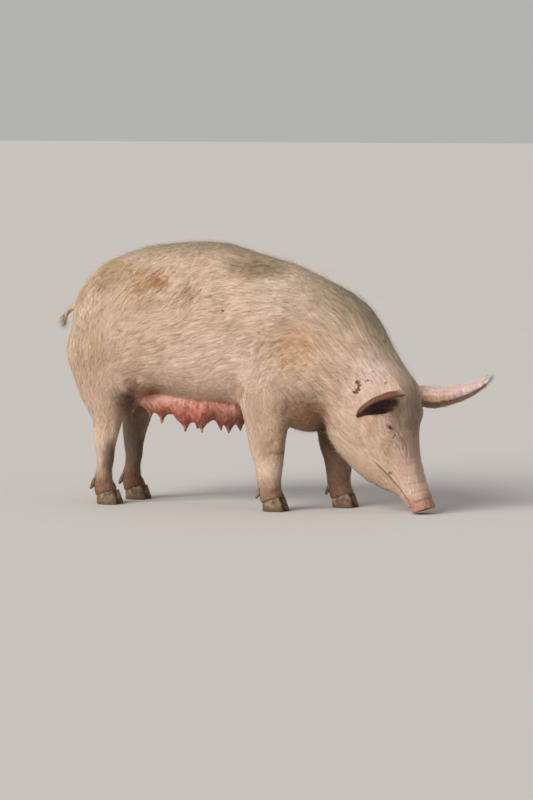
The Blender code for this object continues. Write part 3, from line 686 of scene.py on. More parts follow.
    def sculpt(self) -> None:
        """Sets the skin in by the coat's depth, and adds the folds and small swellings."""
        x, y, z = self.at.T
        lift = np.where(self.is_part(Flesh.UDDER), -self.bare_depth, -self.depth)
        lift[self.is_part(Flesh.HEAD)] = -self.head_depth
        legs = self.is_part(*LEGS)
        lift[legs & (z < 0.12)] = -self.foot_depth
        lift[legs & (z < 0.055)] = self.coronet
        ears = self.is_part(*BOTH_EARS)
        lift[ears] = -self.ear_depth
        lift = relaxed(lift[:, None], edges_of(self.mesh), np.ones(len(x)), 12)[:, 0]
        for fold in FOLDS:
            lift += fold.push(self.at, self.normals)
        wave = np.sin(23 * x + 9 * np.sin(7 * z)) * np.sin(19 * z + 4 * y) + 0.6 * np.sin(41 * x - 31 * z + 3)
        lift += self.swelling * wave * self.plain()
        udder = self.is_part(Flesh.UDDER) & (z < 0.36)
        crease = np.sin(170 * x + 3 * np.sin(60 * z) + 2 * np.sin(80 * y))
        crease *= 0.6 + 0.4 * np.sin(90 * z + 40 * x)
        crease += 0.5 * np.sin(330 * x + 5 * np.sin(70 * z + 50 * y))
        lift[udder] += self.udder_crease * crease[udder]
        vein = np.sin(70 * x + 55 * y + 3 * np.sin(40 * z)) * np.sin(60 * z + 30 * y)
        lift[ears] += self.vein * vein[ears]
        self.at = self.at + self.normals * lift[:, None]
        set_points(self.mesh, self.at)
        self.read()

    def open_eyes(self) -> None:
        """Turns the skin in under each ball along the slit, with a lid round it."""
        for eye in self.eyes:
            middle, *_ = eye.frame()
            q, radius = eye.gap(self.at)
            near = (q < 0.006) & (radius < 0.030)
            ball = smooth_step(-0.0005, 0.0004, q[near])
            under = EYE_RADIUS - eye.tuck
            over = np.maximum(radius[near], EYE_RADIUS + eye.lid)
            wanted = under + (over + eye.ridge(q[near], eye.rim) - under) * ball
            wanted -= eye.ridge(q[near], eye.wrinkle)
            way = (self.at[near] - middle) / radius[near][:, None]
            self.at[near] = middle + way * wanted[:, None]
        set_points(self.mesh, self.at)
        self.read()

    def hollows(self, edges: Array) -> Array:
        """Compares the skin with smoother copies of itself.

        Args:
            edges: The vertex numbers of each edge.

        Returns:
            How deep each vertex lies in a crease or a hollow, from 0 to 1, which the markings darken as
            painted shade.
        """
        every = np.ones(len(self.at))
        near = relaxed(self.at, edges, every, 4)
        far = relaxed(near, edges, every, 50)
        fine = ((near - self.at) * self.normals).sum(axis=1)
        broad = ((far - self.at) * self.normals).sum(axis=1)
        fine = smooth_step(0.00015, 0.0012, fine)
        broad = smooth_step(0.003, 0.012, broad)
        return np.maximum(0.75 * fine, 0.55 * broad)

    def mark(self) -> None:
        """Stores what the finishes read: the cup of the ear, the bare skin, and the creases and hollows that
        get painted shade.
        """
        cup = np.zeros(len(self.at))
        ruddy = np.zeros(len(self.at))
        # The cup is the inside of each ear, which the markings darken as its own darker skin and painted
        # shade of the hollow.
        for part, form in EARS.items():
            own = self.is_part(part)
            share, _, faces = form.measure(self.at[own])
            turned = (self.normals[own] * faces).sum(axis=1)
            cup[own] = smooth_step(-0.15, 0.35, turned) * smooth_step(0.02, 0.15, share)
            if part is Flesh.EAR_LEFT:
                cup[own] *= self.left_cup
            else:
                shown = smooth_step(-0.30, 0.15, self.normals[own] @ unit(np.array(self.ruddy_view)))
                ruddy[own] = smooth_step(0.06, 0.28, share) * shown
                cup[own] *= 1.0 - 0.6 * smooth_step(0.45, 0.95, share)
        udder = self.is_part(Flesh.UDDER) * smooth_step(0.375, 0.345, self.at[:, 2])
        snout = smooth_step(0.045, 0.020, self.at[:, 2]) * self.is_part(Flesh.HEAD)
        lids = np.zeros(len(self.at))
        for eye in self.eyes:
            q, radius = eye.gap(self.at)
            lids = np.maximum(lids, smooth_step(0.004, 0.001, q) * (radius < 0.02))
        bare = np.maximum(np.maximum(udder, snout), lids)
        edges = edges_of(self.mesh)
        line = Fold(MOUTH, 0.0028, 1.0, lip=0.0).push(self.at, self.normals)
        lids = np.maximum(lids, 0.7 * smooth_step(0.25, 0.9, -line))
        # deep marks creases and hollows, which the markings darken as painted shade.
        self.marks = {"cup": cup, "bare": bare, "lid": lids, "deep": self.hollows(edges), "ruddy": ruddy}
        for name, values in self.marks.items():
            rounds = 1 if name in ("lid", "deep") else 4
            soft = relaxed(values[:, None], edges, np.ones(len(values)), rounds)[:, 0]
            store(self.mesh, name, soft)
            self.marks[name] = soft

    def build(self) -> bpy.types.Object:
        """Makes the skin and lets it stand for the nodes of flesh."""
        self.mesh = modified(self.gather(), "REMESH", mode="VOXEL", voxel_size=self.voxel)
        self.only_largest(self.mesh)
        self.read()
        self.flesh = self.parts_at(self.at)
        LOG.info("remeshed: %d vertices", len(self.at))
        self.smooth()
        self.thin_out()
        LOG.info("thinned: %d vertices", len(self.at))
        self.refine()
        self.sculpt()
        self.open_eyes()
        self.mark()
        self.mesh.shade_smooth()
        self.mesh.name = "hide"
        self.tree = tree_of(self.mesh)
        skin = piece_from(self.mesh, "hide")
        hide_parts(*[part.value for part in Flesh])
        report("hide", self.mesh)
        return skin


@dataclass(frozen=True)
class Guide:
    """How the coat lies near one place of the body, the same on both sides."""

    at: Point
    lie: Point
    length: float
    density: float = 1.0


GUIDES = (
    Guide((-0.54, 0.02, 0.74), (-0.75, 0.05, -0.65), 0.032),
    Guide((-0.45, 0.03, 0.82), (-0.92, 0.05, -0.35), 0.034),
    Guide((-0.25, 0.03, 0.875), (-1.0, 0.05, -0.05), 0.036),
    Guide((0.00, 0.03, 0.885), (-1.0, 0.05, 0.08), 0.036),
    Guide((0.20, 0.03, 0.820), (-0.95, 0.05, 0.30), 0.040),
    Guide((0.38, 0.03, 0.745), (-0.88, 0.05, 0.45), 0.042),
    Guide((0.51, 0.03, 0.640), (-0.65, 0.05, 0.75), 0.042),
    Guide((0.59, 0.03, 0.510), (-0.42, 0.05, 0.90), 0.046),
    Guide((0.645, 0.03, 0.420), (-0.22, 0.05, 0.97), 0.036),
    Guide((0.662, 0.03, 0.330), (-0.08, 0.15, 1.0), 0.018, 1.3),
    Guide((0.662, 0.03, 0.240), (-0.02, 0.15, 1.0), 0.013, 1.5),
    Guide((0.680, 0.03, 0.140), (-0.12, 0.15, 1.0), 0.009, 1.6),
    Guide((0.710, 0.03, 0.060), (-0.20, 0.15, 1.0), 0.006, 1.2),
    Guide((0.610, 0.09, 0.330), (-0.45, 0.0, 0.90), 0.014, 1.4),
    Guide((0.640, 0.07, 0.220), (-0.45, 0.0, 0.90), 0.011, 1.5),
    Guide((0.560, 0.10, 0.240), (-0.62, 0.0, 0.78), 0.016, 1.3),
    Guide((0.590, 0.06, 0.140), (-0.50, 0.0, 0.86), 0.011, 1.3),
    Guide((0.500, 0.08, 0.140), (-0.70, 0.0, 0.60), 0.018, 1.1),
    Guide((0.480, 0.11, 0.240), (-0.80, 0.0, 0.55), 0.022, 1.1),
    Guide((0.520, 0.12, 0.350), (-0.75, 0.0, 0.65), 0.022, 1.1),
    Guide((0.430, 0.12, 0.340), (-0.85, 0.0, 0.40), 0.028),
    Guide((0.540, 0.12, 0.450), (-0.70, 0.0, 0.70), 0.028),
    Guide((0.460, 0.13, 0.520), (-0.78, 0.0, 0.60), 0.034),
    Guide((0.380, 0.14, 0.600), (-0.85, 0.0, 0.45), 0.036),
    Guide((0.370, 0.06, 0.240), (-0.80, 0.0, 0.30), 0.028),
    Guide((0.340, 0.10, 0.400), (-0.80, 0.0, -0.30), 0.030),
    Guide((0.300, 0.17, 0.680), (-0.92, 0.0, 0.18), 0.036),
    Guide((0.300, 0.16, 0.540), (-0.88, 0.0, -0.35), 0.032),
    Guide((0.320, 0.06, 0.290), (-0.60, 0.0, -0.70), 0.030),
    Guide((0.200, 0.18, 0.620), (-0.90, 0.0, -0.30), 0.033),
    Guide((0.200, 0.18, 0.460), (-0.55, 0.0, -0.80), 0.026),
    Guide((0.120, 0.14, 0.780), (-0.98, 0.0, 0.05), 0.036),
    Guide((0.050, 0.20, 0.620), (-0.96, 0.0, -0.22), 0.032),
    Guide((0.050, 0.19, 0.440), (-0.95, 0.0, -0.30), 0.027, 0.9),
    Guide((-0.15, 0.21, 0.640), (-0.97, 0.0, -0.20), 0.032),
    Guide((-0.15, 0.19, 0.460), (-0.98, 0.0, -0.14), 0.027, 0.85),
    Guide((-0.10, 0.10, 0.350), (-0.99, 0.0, 0.05), 0.022, 0.6),
    Guide((-0.10, 0.18, 0.740), (-0.80, 0.0, -0.58), 0.034),
    Guide((-0.20, 0.15, 0.790), (-0.70, 0.0, -0.70), 0.036),
    Guide((-0.22, 0.20, 0.710), (-0.68, 0.0, -0.72), 0.034),
    Guide((-0.36, 0.18, 0.730), (-0.60, 0.0, -0.78), 0.034),
    Guide((-0.50, 0.13, 0.680), (-0.55, 0.0, -0.82), 0.034),
    Guide((-0.40, 0.20, 0.560), (-0.45, 0.0, -0.88), 0.030),
    Guide((-0.53, 0.10, 0.530), (-0.15, 0.0, -0.98), 0.030),
    Guide((-0.33, 0.19, 0.450), (-0.75, 0.0, -0.62), 0.026, 0.9),
    Guide((-0.43, 0.16, 0.340), (-0.28, 0.0, -0.95), 0.018),
    Guide((-0.44, 0.12, 0.220), (-0.05, 0.0, -1.0), 0.012, 1.1),
    Guide((-0.44, 0.12, 0.130), (0.0, 0.0, -1.0), 0.010, 1.1),
    Guide((-0.44, 0.12, 0.050), (0.1, 0.0, -1.0), 0.012, 1.5),
    Guide((0.17, 0.15, 0.330), (-0.22, 0.0, -0.97), 0.018),
    Guide((0.18, 0.13, 0.200), (0.0, 0.0, -1.0), 0.012, 1.1),
    Guide((0.19, 0.12, 0.110), (0.1, 0.0, -1.0), 0.010, 1.1),
    Guide((0.20, 0.12, 0.050), (0.2, 0.0, -1.0), 0.012, 1.5),
    Guide((0.30, 0.13, 0.150), (0.2, 0.0, -1.0), 0.010, 1.1),
    Guide((-0.59, 0.00, 0.66), (-0.85, 0.0, -0.2), 0.014, 1.2),
    Guide((-0.645, 0.01, 0.63), (-0.3, 0.0, -1.0), 0.018, 1.4),
)


@dataclass
class Tufts:
    """A set of tufts as arrays, one row for each."""

    root: Array
    normal: Array
    lie: Array
    length: Array
    width: Array
    lift: Array
    free: Array

    def __add__(self, other: "Tufts") -> "Tufts":
        """The tufts of both sets."""
        pairs = [(getattr(self, n), getattr(other, n)) for n in self.__dataclass_fields__]
        return Tufts(*[np.concatenate(pair) for pair in pairs])

    def __getitem__(self, rows: Array) -> "Tufts":
        """The tufts of some rows."""
        return Tufts(*[getattr(self, n)[rows] for n in self.__dataclass_fields__])

    def __len__(self) -> int:
        """How many there are."""
        return len(self.root)


@dataclass(frozen=True)
class Bunch:
    """Free bristles on a small place: shortest and longest, half the width, and how far they rise."""

    count: int
    length: tuple[float, float]
    width: float
    lift: float


# The tips, backs and inner roots of the ears.
EAR_BUNCHES = {
    Flesh.EAR_RIGHT: (
        Bunch(160, (0.006, 0.012), 0.0006, 0.40),
        Bunch(300, (0.007, 0.013), 0.0004, 0.42),
        Bunch(220, (0.016, 0.030), 0.0003, 0.20),
    ),
    Flesh.EAR_LEFT: (
        Bunch(520, (0.014, 0.030), 0.0006, 0.40),
        Bunch(800, (0.012, 0.024), 0.0004, 0.42),
        Bunch(220, (0.016, 0.030), 0.0003, 0.20),
    ),
}
TAIL_BUNCH = Bunch(150, (0.028, 0.052), 0.0009, 0.10)
LASHES = Bunch(26, (0.008, 0.013), 0.00022, 0.5)


@dataclass
class Coat:
    """Bristles over the skin, as joined meshes of thin tapered tufts.

    Follow is how far a tuft is lit like the skin under it. A lying tuft is held at two
    heights over the skin, at its middle and at its tip. The length on an ear is the least,
    what the inside adds and what chance adds.
    """

    hide: Hide
    body_tufts: int = 104000
    stray_tufts: int = 9000
    follow: float = 0.8
    stray_follow: float = 0.25
    stray_dark: float = 0.15
    each_piece: int = 19000
    half_width: tuple[float, float] = (0.00028, 0.00052)
    body_share: tuple[float, float] = (0.7, 1.25)
    stray_share: tuple[float, float] = (0.9, 1.5)
    stray_lift: tuple[float, float] = (0.14, 0.42)
    stray_width: float = 0.00038
    ear_length: Point = (0.012, 0.012, 0.004)
    flatness: float = 0.6
    root_depth: float = 0.0004
    heights: tuple[float, float] = (0.0011, 0.0016)
    tail_end: Point = (-0.650, 0.011, 0.620)
    spread: float = 0.085
    rows_at_once: int = 20000
    seed: int = 11
    patch: float = 0.0014
    unwrap_kept: float = 0.05
    random: np.random.Generator = field(init=False)

    def __post_init__(self) -> None:
        """Starts the seeded draw."""
        self.random = np.random.default_rng(self.seed)

    def blend(self, at: Array) -> tuple[Array, Array, Array]:
        """Blends the guides.

        Args:
            at: Places on the skin.

        Returns:
            The lie, the length and the density there.
        """
        place = np.array([g.at for g in GUIDES])
        lie = np.array([g.lie for g in GUIDES])
        length = np.array([g.length for g in GUIDES])
        density = np.array([g.density for g in GUIDES])
        folded = at * [1, 0, 1] + np.abs(at) * [0, 1, 0]
        lies = []
        lengths = []
        densities = []
        for rows in np.array_split(folded, max(1, len(folded) // self.rows_at_once)):
            gap = np.linalg.norm(rows[:, None] - place[None], axis=2)
            least = gap.min(axis=1, keepdims=True)
            weight = np.exp(-((gap / (0.35 * self.spread + 0.75 * least)) ** 2))
            weight /= weight.sum(axis=1, keepdims=True)
            lies.append(weight @ lie)
            lengths.append(weight @ length)
            densities.append(weight @ density)
        way = np.concatenate(lies)
        way[:, 1] *= np.sign(at[:, 1])
        return way, np.concatenate(lengths), np.concatenate(densities)

    def scatter(self, density: Array, count: int) -> tuple[Array, Array, Array]:
        """Draws places on the skin.

        Args:
            density: How thick the coat is at each vertex.
            count: How many places.

        Returns:
            The places, the normals there, and the vertex that each is nearest to.
        """
        tris = triangles_of(self.hide.mesh)
        corners = self.hide.at[tris]
        sides = corners[:, 1:] - corners[:, :1]
        area = np.linalg.norm(np.cross(sides[:, 0], sides[:, 1]), axis=1)
        chance = area * density[tris].mean(axis=1)
        steps = (np.arange(count) + self.random.random(count)) / count * chance.sum()
        chosen = np.minimum(np.searchsorted(np.cumsum(chance), steps), len(tris) - 1)
        u, v = self.random.random((2, count))
        over = u + v > 1
        u = np.where(over, 1 - u, u)
        v = np.where(over, 1 - v, v)
        share = np.stack([1 - u - v, u, v], 1)[:, :, None]
        place = (corners[chosen] * share).sum(axis=1)
        normal = unit((self.hide.normals[tris[chosen]] * share).sum(axis=1))
        return place, normal, tris[chosen][np.arange(count), share[:, :, 0].argmax(axis=1)]

    def densities(self) -> Array:
        """How thick the coat is at each vertex of the skin."""
        hide = self.hide
        _, _, density = self.blend(hide.at)
        density *= 1 - hide.marks["bare"]
        density = np.where(hide.is_part(*BOTH_EARS), 1.0 - 0.78 * hide.marks["cup"], density)
        density = np.where(hide.is_part(Flesh.TAIL), 1.3, density)
        between_claws = hide.at[:, 2] < 0.016
        return np.where(between_claws, 0.0, np.maximum(density, 0))

    def waves(self, at: Array) -> Array:
        """Slow turns of the lie from place to place, as wet hair has."""
        x, y, z = at.T
        first = np.sin(31 * x + 3 * np.sin(23 * z) + 1.3) * np.sin(27 * z - 9 * x)
        second = np.sin(67 * x - 43 * z + 2 * np.sin(37 * x)) * np.sin(12 * y + 51 * z)
        turn = 0.14 * first + 0.11 * second
        return np.stack([0.3 * turn, 0.4 * turn, turn], 1)

    def on_ears(self, tufts: Tufts, vertex: Array) -> None:
        """Lets the tufts of the ears point to the tip, shorter on the back and longer inside."""
        for part, form in EARS.items():
            own = self.hide.is_part(part)[vertex]
            share, ways, _ = form.measure(tufts.root[own])
            inside = self.hide.marks["cup"][vertex][own]
            out = tufts.root[own] - form.frames()[0][np.rint(share * form.steps).astype(int)]
            tufts.lie[own] = ways + 3.0 * out
            least, more, chance = self.ear_length
            extra = chance * self.random.random(own.sum())
            tufts.length[own] = least + more * inside * (1 - share) + extra
            tufts.lift[own] += 0.10 * inside

    def body(self) -> Tufts:
        """The flat coat."""
        place, normal, vertex = self.scatter(self.densities(), self.body_tufts)
        lie, length, _ = self.blend(place)
        count = len(place)
        turn = self.waves(place) + self.random.normal(0, 0.07, (count, 3))
        width = self.random.uniform(*self.half_width, count) * np.clip(0.45 + length / 0.045, 0.55, 1.1)
        lift = self.random.gamma(2.0, 0.02, count)
        length = length * self.random.uniform(*self.body_share, count)
        tufts = Tufts(place, normal, lie + turn, length, width, lift, np.zeros(count, bool))
        self.on_ears(tufts, vertex)
        return tufts

    def strays(self) -> Tufts:
        """Longer single bristles that break the outline."""
        hide = self.hide
        _, length, _ = self.blend(hide.at)
        density = smooth_step(0.012, 0.030, length) * (1 - hide.marks["bare"]) * (1 - hide.marks["cup"])
        density[hide.is_part(*BOTH_EARS)] = 0.35
        place, normal, vertex = self.scatter(density, self.stray_tufts)
        lie, length, _ = self.blend(place)
        count = len(place)
        lift = self.random.uniform(*self.stray_lift, count)
        lie = lie + self.random.normal(0, 0.22, (count, 3))
        length = length * self.random.uniform(*self.stray_share, count)
        width = np.full(count, self.stray_width)
        tufts = Tufts(place, normal, lie, length, width, lift, np.ones(count, bool))
        self.on_ears(tufts, vertex)
        return tufts

    def at_vertices(self, chosen: Array, lie: Array, bunch: Bunch) -> Tufts:
        """Grows a bunch from some vertices.

        Args:
            chosen: Marks the vertices that it may grow from.
            lie: The way that it points.
            bunch: Its bristles.

        Returns:
            The tufts.
        """
        count = bunch.count
        rows = self.random.choice(np.flatnonzero(chosen), count)
        turned = np.broadcast_to(lie, (count, 3)) + self.random.normal(0, 0.18, (count, 3))
        length = self.random.uniform(*bunch.length, count)
        width = np.full(count, bunch.width)
        lift = self.random.uniform(0.4, 1.4, count) * bunch.lift
        root = self.hide.at[rows]
        return Tufts(root, self.hide.normals[rows], turned, length, width, lift, np.ones(count, bool))

    def bunches(self) -> Tufts:
        """The end of the tail, the tips and edges of the ears, and the lashes."""
        hide = self.hide
        gap = np.linalg.norm(hide.at - np.array(self.tail_end), axis=1)
        made = self.at_vertices(gap < 0.020, np.array([-0.25, 0.05, -1.0]), TAIL_BUNCH)
        for part, form in EARS.items():
            own = hide.is_part(part)
            share = np.zeros(len(hide.at))
            share[own], ways, _ = form.measure(hide.at[own])
            tip, back, root = EAR_BUNCHES[part]
            made += self.at_vertices(own & (share > 0.84), ways[share[own] > 0.93].mean(axis=0), tip)
            cup = hide.marks["cup"]
            inner = cup / max(cup[own].max(), 0.01)
            made += self.at_vertices(own & (inner < 0.3) & (share > 0.10), ways.mean(axis=0), back)
            chosen = own & (share < 0.40) & (inner > 0.5)
            made += self.at_vertices(chosen, ways[share[own] < 0.4].mean(axis=0), root)
        for eye in hide.eyes:
            middle, along, across, outward = eye.frame()
            q, radius = eye.gap(hide.at)
            upper = (hide.at - middle) @ across * eye.side < 0
            edge = (q > 0.0006) & (q < 0.0016) & (radius < 0.018)
            side = -across * eye.side
            made += self.at_vertices(edge & upper, outward * 0.8 + side * 0.7 - along * 0.2, LASHES)
        return made

    def form(self) -> tuple[Array, list[list[int]]]:
        """One tuft: three sides, a bend half way and a point.

        Returns:
            Its vertices as (along, across, up), and its faces.
        """
        shape = bmesh.new()
        turn = Matrix.Rotation(math.radians(90), 4, "Y")
        made = bmesh.ops.create_circle(shape, cap_ends=True, segments=3, radius=1, matrix=turn)
        face = made["verts"][0].link_faces[0]
        for step, size in ((0.5, 0.8), (0.5, 0.0)):
            out = bmesh.ops.extrude_face_region(shape, geom=[face])
            new = [g for g in out["geom"] if isinstance(g, bmesh.types.BMVert)]
            bmesh.ops.translate(shape, verts=new, vec=(step, 0, 0))
            bmesh.ops.scale(shape, verts=new, vec=(1, size, size))
            face = next(g for g in out["geom"] if isinstance(g, bmesh.types.BMFace))
        bmesh.ops.remove_doubles(shape, verts=shape.verts, dist=1e-6)
        bmesh.ops.recalc_face_normals(shape, faces=shape.faces)
        shape.verts.index_update()
        points = np.array([v.co for v in shape.verts])
        faces = [[v.index for v in f.verts] for f in shape.faces]
        shape.free()
        return points, faces

    def unwrap(self) -> tuple[BVHTree, Array, Array]:
        """Unwraps a thinned copy of the skin.

        Returns:
            A search tree over it, its triangles' corners, and their places on the unwrap.
        """
        copy = modified(self.hide.mesh.copy(), "DECIMATE", ratio=self.unwrap_kept)
        obj = placed("unwrapped", copy)
        bpy.context.view_layer.objects.active = obj
        obj.select_set(True)
        bpy.ops.object.mode_set(mode="EDIT")
        bpy.ops.mesh.select_all(action="SELECT")
        bpy.ops.uv.smart_project(angle_limit=math.radians(66), island_margin=0.004)
        bpy.ops.object.mode_set(mode="OBJECT")
        corners = points_of(copy)[triangles_of(copy)]
        loops = fetched(copy.loop_triangles, "loops", 3, np.int32)
        places = fetched(copy.uv_layers.active.data, "uv", 2)[loops]
        tree = tree_of(copy)
        bpy.data.objects.remove(obj)
        bpy.data.meshes.remove(copy)
        return tree, corners, places

    def root_places(self, roots: Array) -> Array:
        """The place of each root on the unwrap."""
        tree, corners, places = self.unwrap()
        at, _, face = nearest(tree, roots)
        a, b, c = (corners[face][:, k] for k in range(3))
        whole = np.cross(b - a, c - a)
        size = np.maximum((whole * whole).sum(axis=1), 1e-20)
        second = (np.cross(at - a, c - a) * whole).sum(axis=1) / size
        third = (np.cross(b - a, at - a) * whole).sum(axis=1) / size
        share = np.clip(np.stack([1 - second - third, second, third], 1), 0, 1)
        share /= share.sum(axis=1, keepdims=True)
        return (places[face] * share[:, :, None]).sum(axis=1)

    def curve(self, tufts: Tufts) -> tuple[Array, Array]:
        """Lays each tuft along the skin.

        Args:
            tufts: The tufts.

        Returns:
            The middle and the tip of each.
        """
        side = tufts.lie - tufts.normal * (tufts.lie * tufts.normal).sum(axis=1, keepdims=True)
        tufts.lie = unit(side)
        rise = tufts.lift[:, None]
        way = tufts.lie * np.cos(rise) + tufts.normal * np.sin(rise)
        long = tufts.length[:, None]
        middle = tufts.root + way * long * 0.5 + tufts.normal * long * 0.02
        tip = tufts.root + way * long
        lying = ~tufts.free
        for place, height in zip((middle, tip), self.heights):
            on, normal, _ = nearest(self.hide.tree, place[lying])
            over = height + 0.35 * tufts.length[lying] * np.sin(tufts.lift[lying])
            place[lying] = on + normal * over[:, None]
        return middle, tip

    def mesh_of(
        self, name: str, tufts: Tufts, middle: Array, tip: Array, places: Array, marks: dict[str, Array]
    ) -> Mesh:
        """Joins tufts in one mesh.

        Args:
            name: The piece.
            tufts: The tufts.
            middle: The middle of each.
            tip: The tip of each.
            places: The place of each root on the unwrap.
            marks: The skin's own marks at each root.

        Returns:
            The mesh, with its shades and its map.
        """
        points, faces = self.form()
        along = points[:, 0]
        across = unit(np.cross(tufts.normal, tufts.lie))
        start = tufts.root - tufts.normal * self.root_depth
        wide = tufts.width[:, None, None]
        near = np.clip(1 - 2 * along, 0, 1)[None, :, None]
        half = (1 - np.abs(2 * along - 1))[None, :, None]
        far = np.clip(2 * along - 1, 0, 1)[None, :, None]
        spine = start[:, None] * near + middle[:, None] * half + tip[:, None] * far
        offset = across[:, None] * points[None, :, 1:2]
        offset = offset + tufts.normal[:, None] * points[None, :, 2:3] * self.flatness
        all_points = (spine + offset * wide + BODY).reshape(-1, 3)
        count = len(tufts)
        step = len(points)
        sizes = np.array([len(f) for f in faces])
        corners = np.concatenate(faces)
        mesh = bpy.data.meshes.new(name)
        mesh.vertices.add(count * step)
        mesh.loops.add(count * len(corners))
        mesh.polygons.add(count * len(faces))
        mesh.vertices.foreach_set("co", all_points.astype(np.float32).ravel())
        index = (corners[None] + np.arange(count)[:, None] * step).ravel()
        mesh.loops.foreach_set("vertex_index", index.astype(np.int32))
        starts = np.concatenate([[0], np.cumsum(np.tile(sizes, count))[:-1]])
        mesh.polygons.foreach_set("loop_start", starts.astype(np.int32))
        mesh.update(calc_edges=True)
        self.mark(mesh, count, points, corners, places, marks)
        mesh.shade_smooth()
        skin = np.repeat(tufts.normal, step, axis=0)
        share = np.repeat(np.where(tufts.free, self.stray_follow, self.follow), step)[:, None]
        soft = unit(skin * share + normals_of(mesh) * (1 - share))
        mesh.normals_split_custom_set_from_vertices(soft.astype(np.float32))
        return mesh

    def mark(
        self,
        mesh: Mesh,
        count: int,
        points: Array,
        corners: Array,
        places: Array,
        marks: dict[str, Array],
    ) -> None:
        """Stores what the finish and the bake read.

        Args:
            mesh: The joined mesh of equal tufts.
            count: How many tufts it has.
            points: The vertices of one tuft.
            corners: The vertex number at each face corner of one tuft.
            places: The place of each root on the unwrap.
            marks: The skin's own marks at each root.
        """
        shade = self.random.random(count)
        store(mesh, "shade", np.repeat(shade, len(points)))
        store(mesh, "along", np.tile(points[:, 0], count))
        for name, value in marks.items():
            store(mesh, name, np.repeat(value, len(points)))
        local = (points[:, :2] - [0.5, 0]) * self.patch
        spot = places[:, None] + local[corners][None]
        layer = mesh.uv_layers.new(name="OFBake")
        layer.data.foreach_set("uv", spot.astype(np.float32).ravel())

    def build(self, bristle: Material) -> None:
        """Makes the coat in pieces from tail to snout."""
        tufts = self.body() + self.strays() + self.bunches()
        tufts = tufts[np.argsort(tufts.root[:, 0], kind="stable")]
        middle, tip = self.curve(tufts)
        places = self.root_places(tufts.root)
        tris = triangles_of(self.hide.mesh)
        _, _, face = nearest(self.hide.tree, tufts.root)
        under = tris[face][:, 0]
        # The coat takes the skin's marks at each root, the painted crease shade among them.
        marks = {name: self.hide.marks[name][under] for name in ("cup", "deep", "ruddy")}
        marks["cup"] = marks["cup"] * np.where(tufts.free, self.stray_dark, 1.0)
        parts = -(-len(tufts) // self.each_piece)
        for i, rows in enumerate(np.array_split(np.arange(len(tufts)), parts), 1):
            name = f"coat_{i}"
            own = {key: value[rows] for key, value in marks.items()}
            mesh = self.mesh_of(name, tufts[rows], middle[rows], tip[rows], places[rows], own)
            mesh.materials.append(bristle)
            piece = piece_from(mesh, name)
            report(name, mesh)


@dataclass
class Wires:
    """Adds nodes to one tree and links them. A value is a number, a vector, a colour or an output."""

    tree: bpy.types.NodeTree

    def feed(self, socket: Socket, value: object) -> None:
        """Links an output to a socket, or sets its value."""
        if isinstance(value, Socket):
            self.tree.links.new(value, socket)
        else:
            socket.default_value = value

    def node(self, kind: str, inputs: dict, **settings: object) -> Node:
        """Adds a node.

        Args:
            kind: Its type.
            inputs: What its sockets take, by name or number.
            settings: Its own settings.

        Returns:
            The node.
        """
        node = self.tree.nodes.new(kind)
        for name, value in settings.items():
            setattr(node, name, value)
        for key, value in inputs.items():
            self.feed(node.inputs[key], value)
        return node

    def maths(self, operation: str, a: object, b: object = 0.0) -> Socket:
        """A Math node on two values."""
        return self.node("ShaderNodeMath", {0: a, 1: b}, operation=operation).outputs[0]

    def times(self, a: object, b: object) -> Socket:
        """The product of two values."""
        return self.maths("MULTIPLY", a, b)

    def parts(self, vector: Socket) -> bpy.types.bpy_prop_collection:
        """The outputs X, Y and Z of a vector."""
        return self.node("ShaderNodeSeparateXYZ", {0: vector}).outputs

    def vector(self, operation: str, a: object, b: object = (0, 0, 0), c: object = (0, 0, 0)) -> Socket:
        """A Vector Math node on up to three vectors."""
        node = self.node("ShaderNodeVectorMath", {0: a, 1: b}, operation=operation)
        if operation == "MULTIPLY_ADD":
            self.feed(node.inputs[2], c)
        return node.outputs["Value" if operation == "LENGTH" else "Vector"]

    def mix(self, share: object, a: object, b: object, how: str = "MIX") -> Socket:
        """A mix of two colours."""
        node = self.node("ShaderNodeMix", {0: share, 6: a, 7: b}, data_type="RGBA", blend_type=how)
        return node.outputs[2]

    def between(self, share: object, a: object, b: object) -> Socket:
        """A mix of two numbers."""
        return self.node("ShaderNodeMix", {0: share, 2: a, 3: b}).outputs[0]

    def span(self, value: object, low: float, high: float, start: float = 0.0, end: float = 1.0) -> Socket:
        """A smooth step from start to end as the value goes from low to high."""
        inputs = {0: value, 1: low, 2: high, 3: start, 4: end}
        return self.node("ShaderNodeMapRange", inputs, interpolation_type="SMOOTHSTEP").outputs[0]

    def noise(self, vector: object, scale: float, detail: float = 2.0, rough: float = 0.5) -> Node:
        """A noise texture."""
        inputs = {"Vector": vector, "Scale": scale, "Detail": detail, "Roughness": rough}
        return self.node("ShaderNodeTexNoise", inputs)

    def streak(self, place: Socket, degrees: float, scale: Point) -> Socket:
        """Noise drawn out along one way of the side view."""
        turn = (0, math.radians(degrees), 0)
        inputs = {"Vector": place, "Rotation": turn, "Scale": tuple(1 / v for v in scale)}
        turned = self.node("ShaderNodeMapping", inputs, vector_type="TEXTURE").outputs[0]
        return self.noise(turned, 1.0, 4.0, 0.6).outputs["Fac"]

    def attribute(self, name: str) -> Socket:
        """A number stored on the piece."""
        return self.node("ShaderNodeAttribute", {}, attribute_name=name).outputs["Fac"]

    def body_place(self) -> Socket:
        """Object coordinates, counted from the body's own zero."""
        place = self.node("ShaderNodeTexCoord", {}).outputs["Object"]
        return self.vector("SUBTRACT", place, tuple(BODY))


def group_of(name: str, kind: str, *outputs: str) -> Wires:
    """Starts a node group with some outputs of one kind."""
    tree = bpy.data.node_groups.new(name, "ShaderNodeTree")
    for output in outputs:
        tree.interface.new_socket(output, in_out="OUTPUT", socket_type=kind)
    return Wires(tree)


@dataclass(frozen=True)
class Patch:
    """A soft patch of another colour on skin and bristles.

    It lies on both sides of the body, or only where it is placed. A streaky one is torn
    along the hair.
    """

    at: Point
    half: Point
    skin: Shade
    bristle: Shade
    strength: float = 0.6
    soft: float = 0.75
    both: bool = True
    streaky: float = 0.0


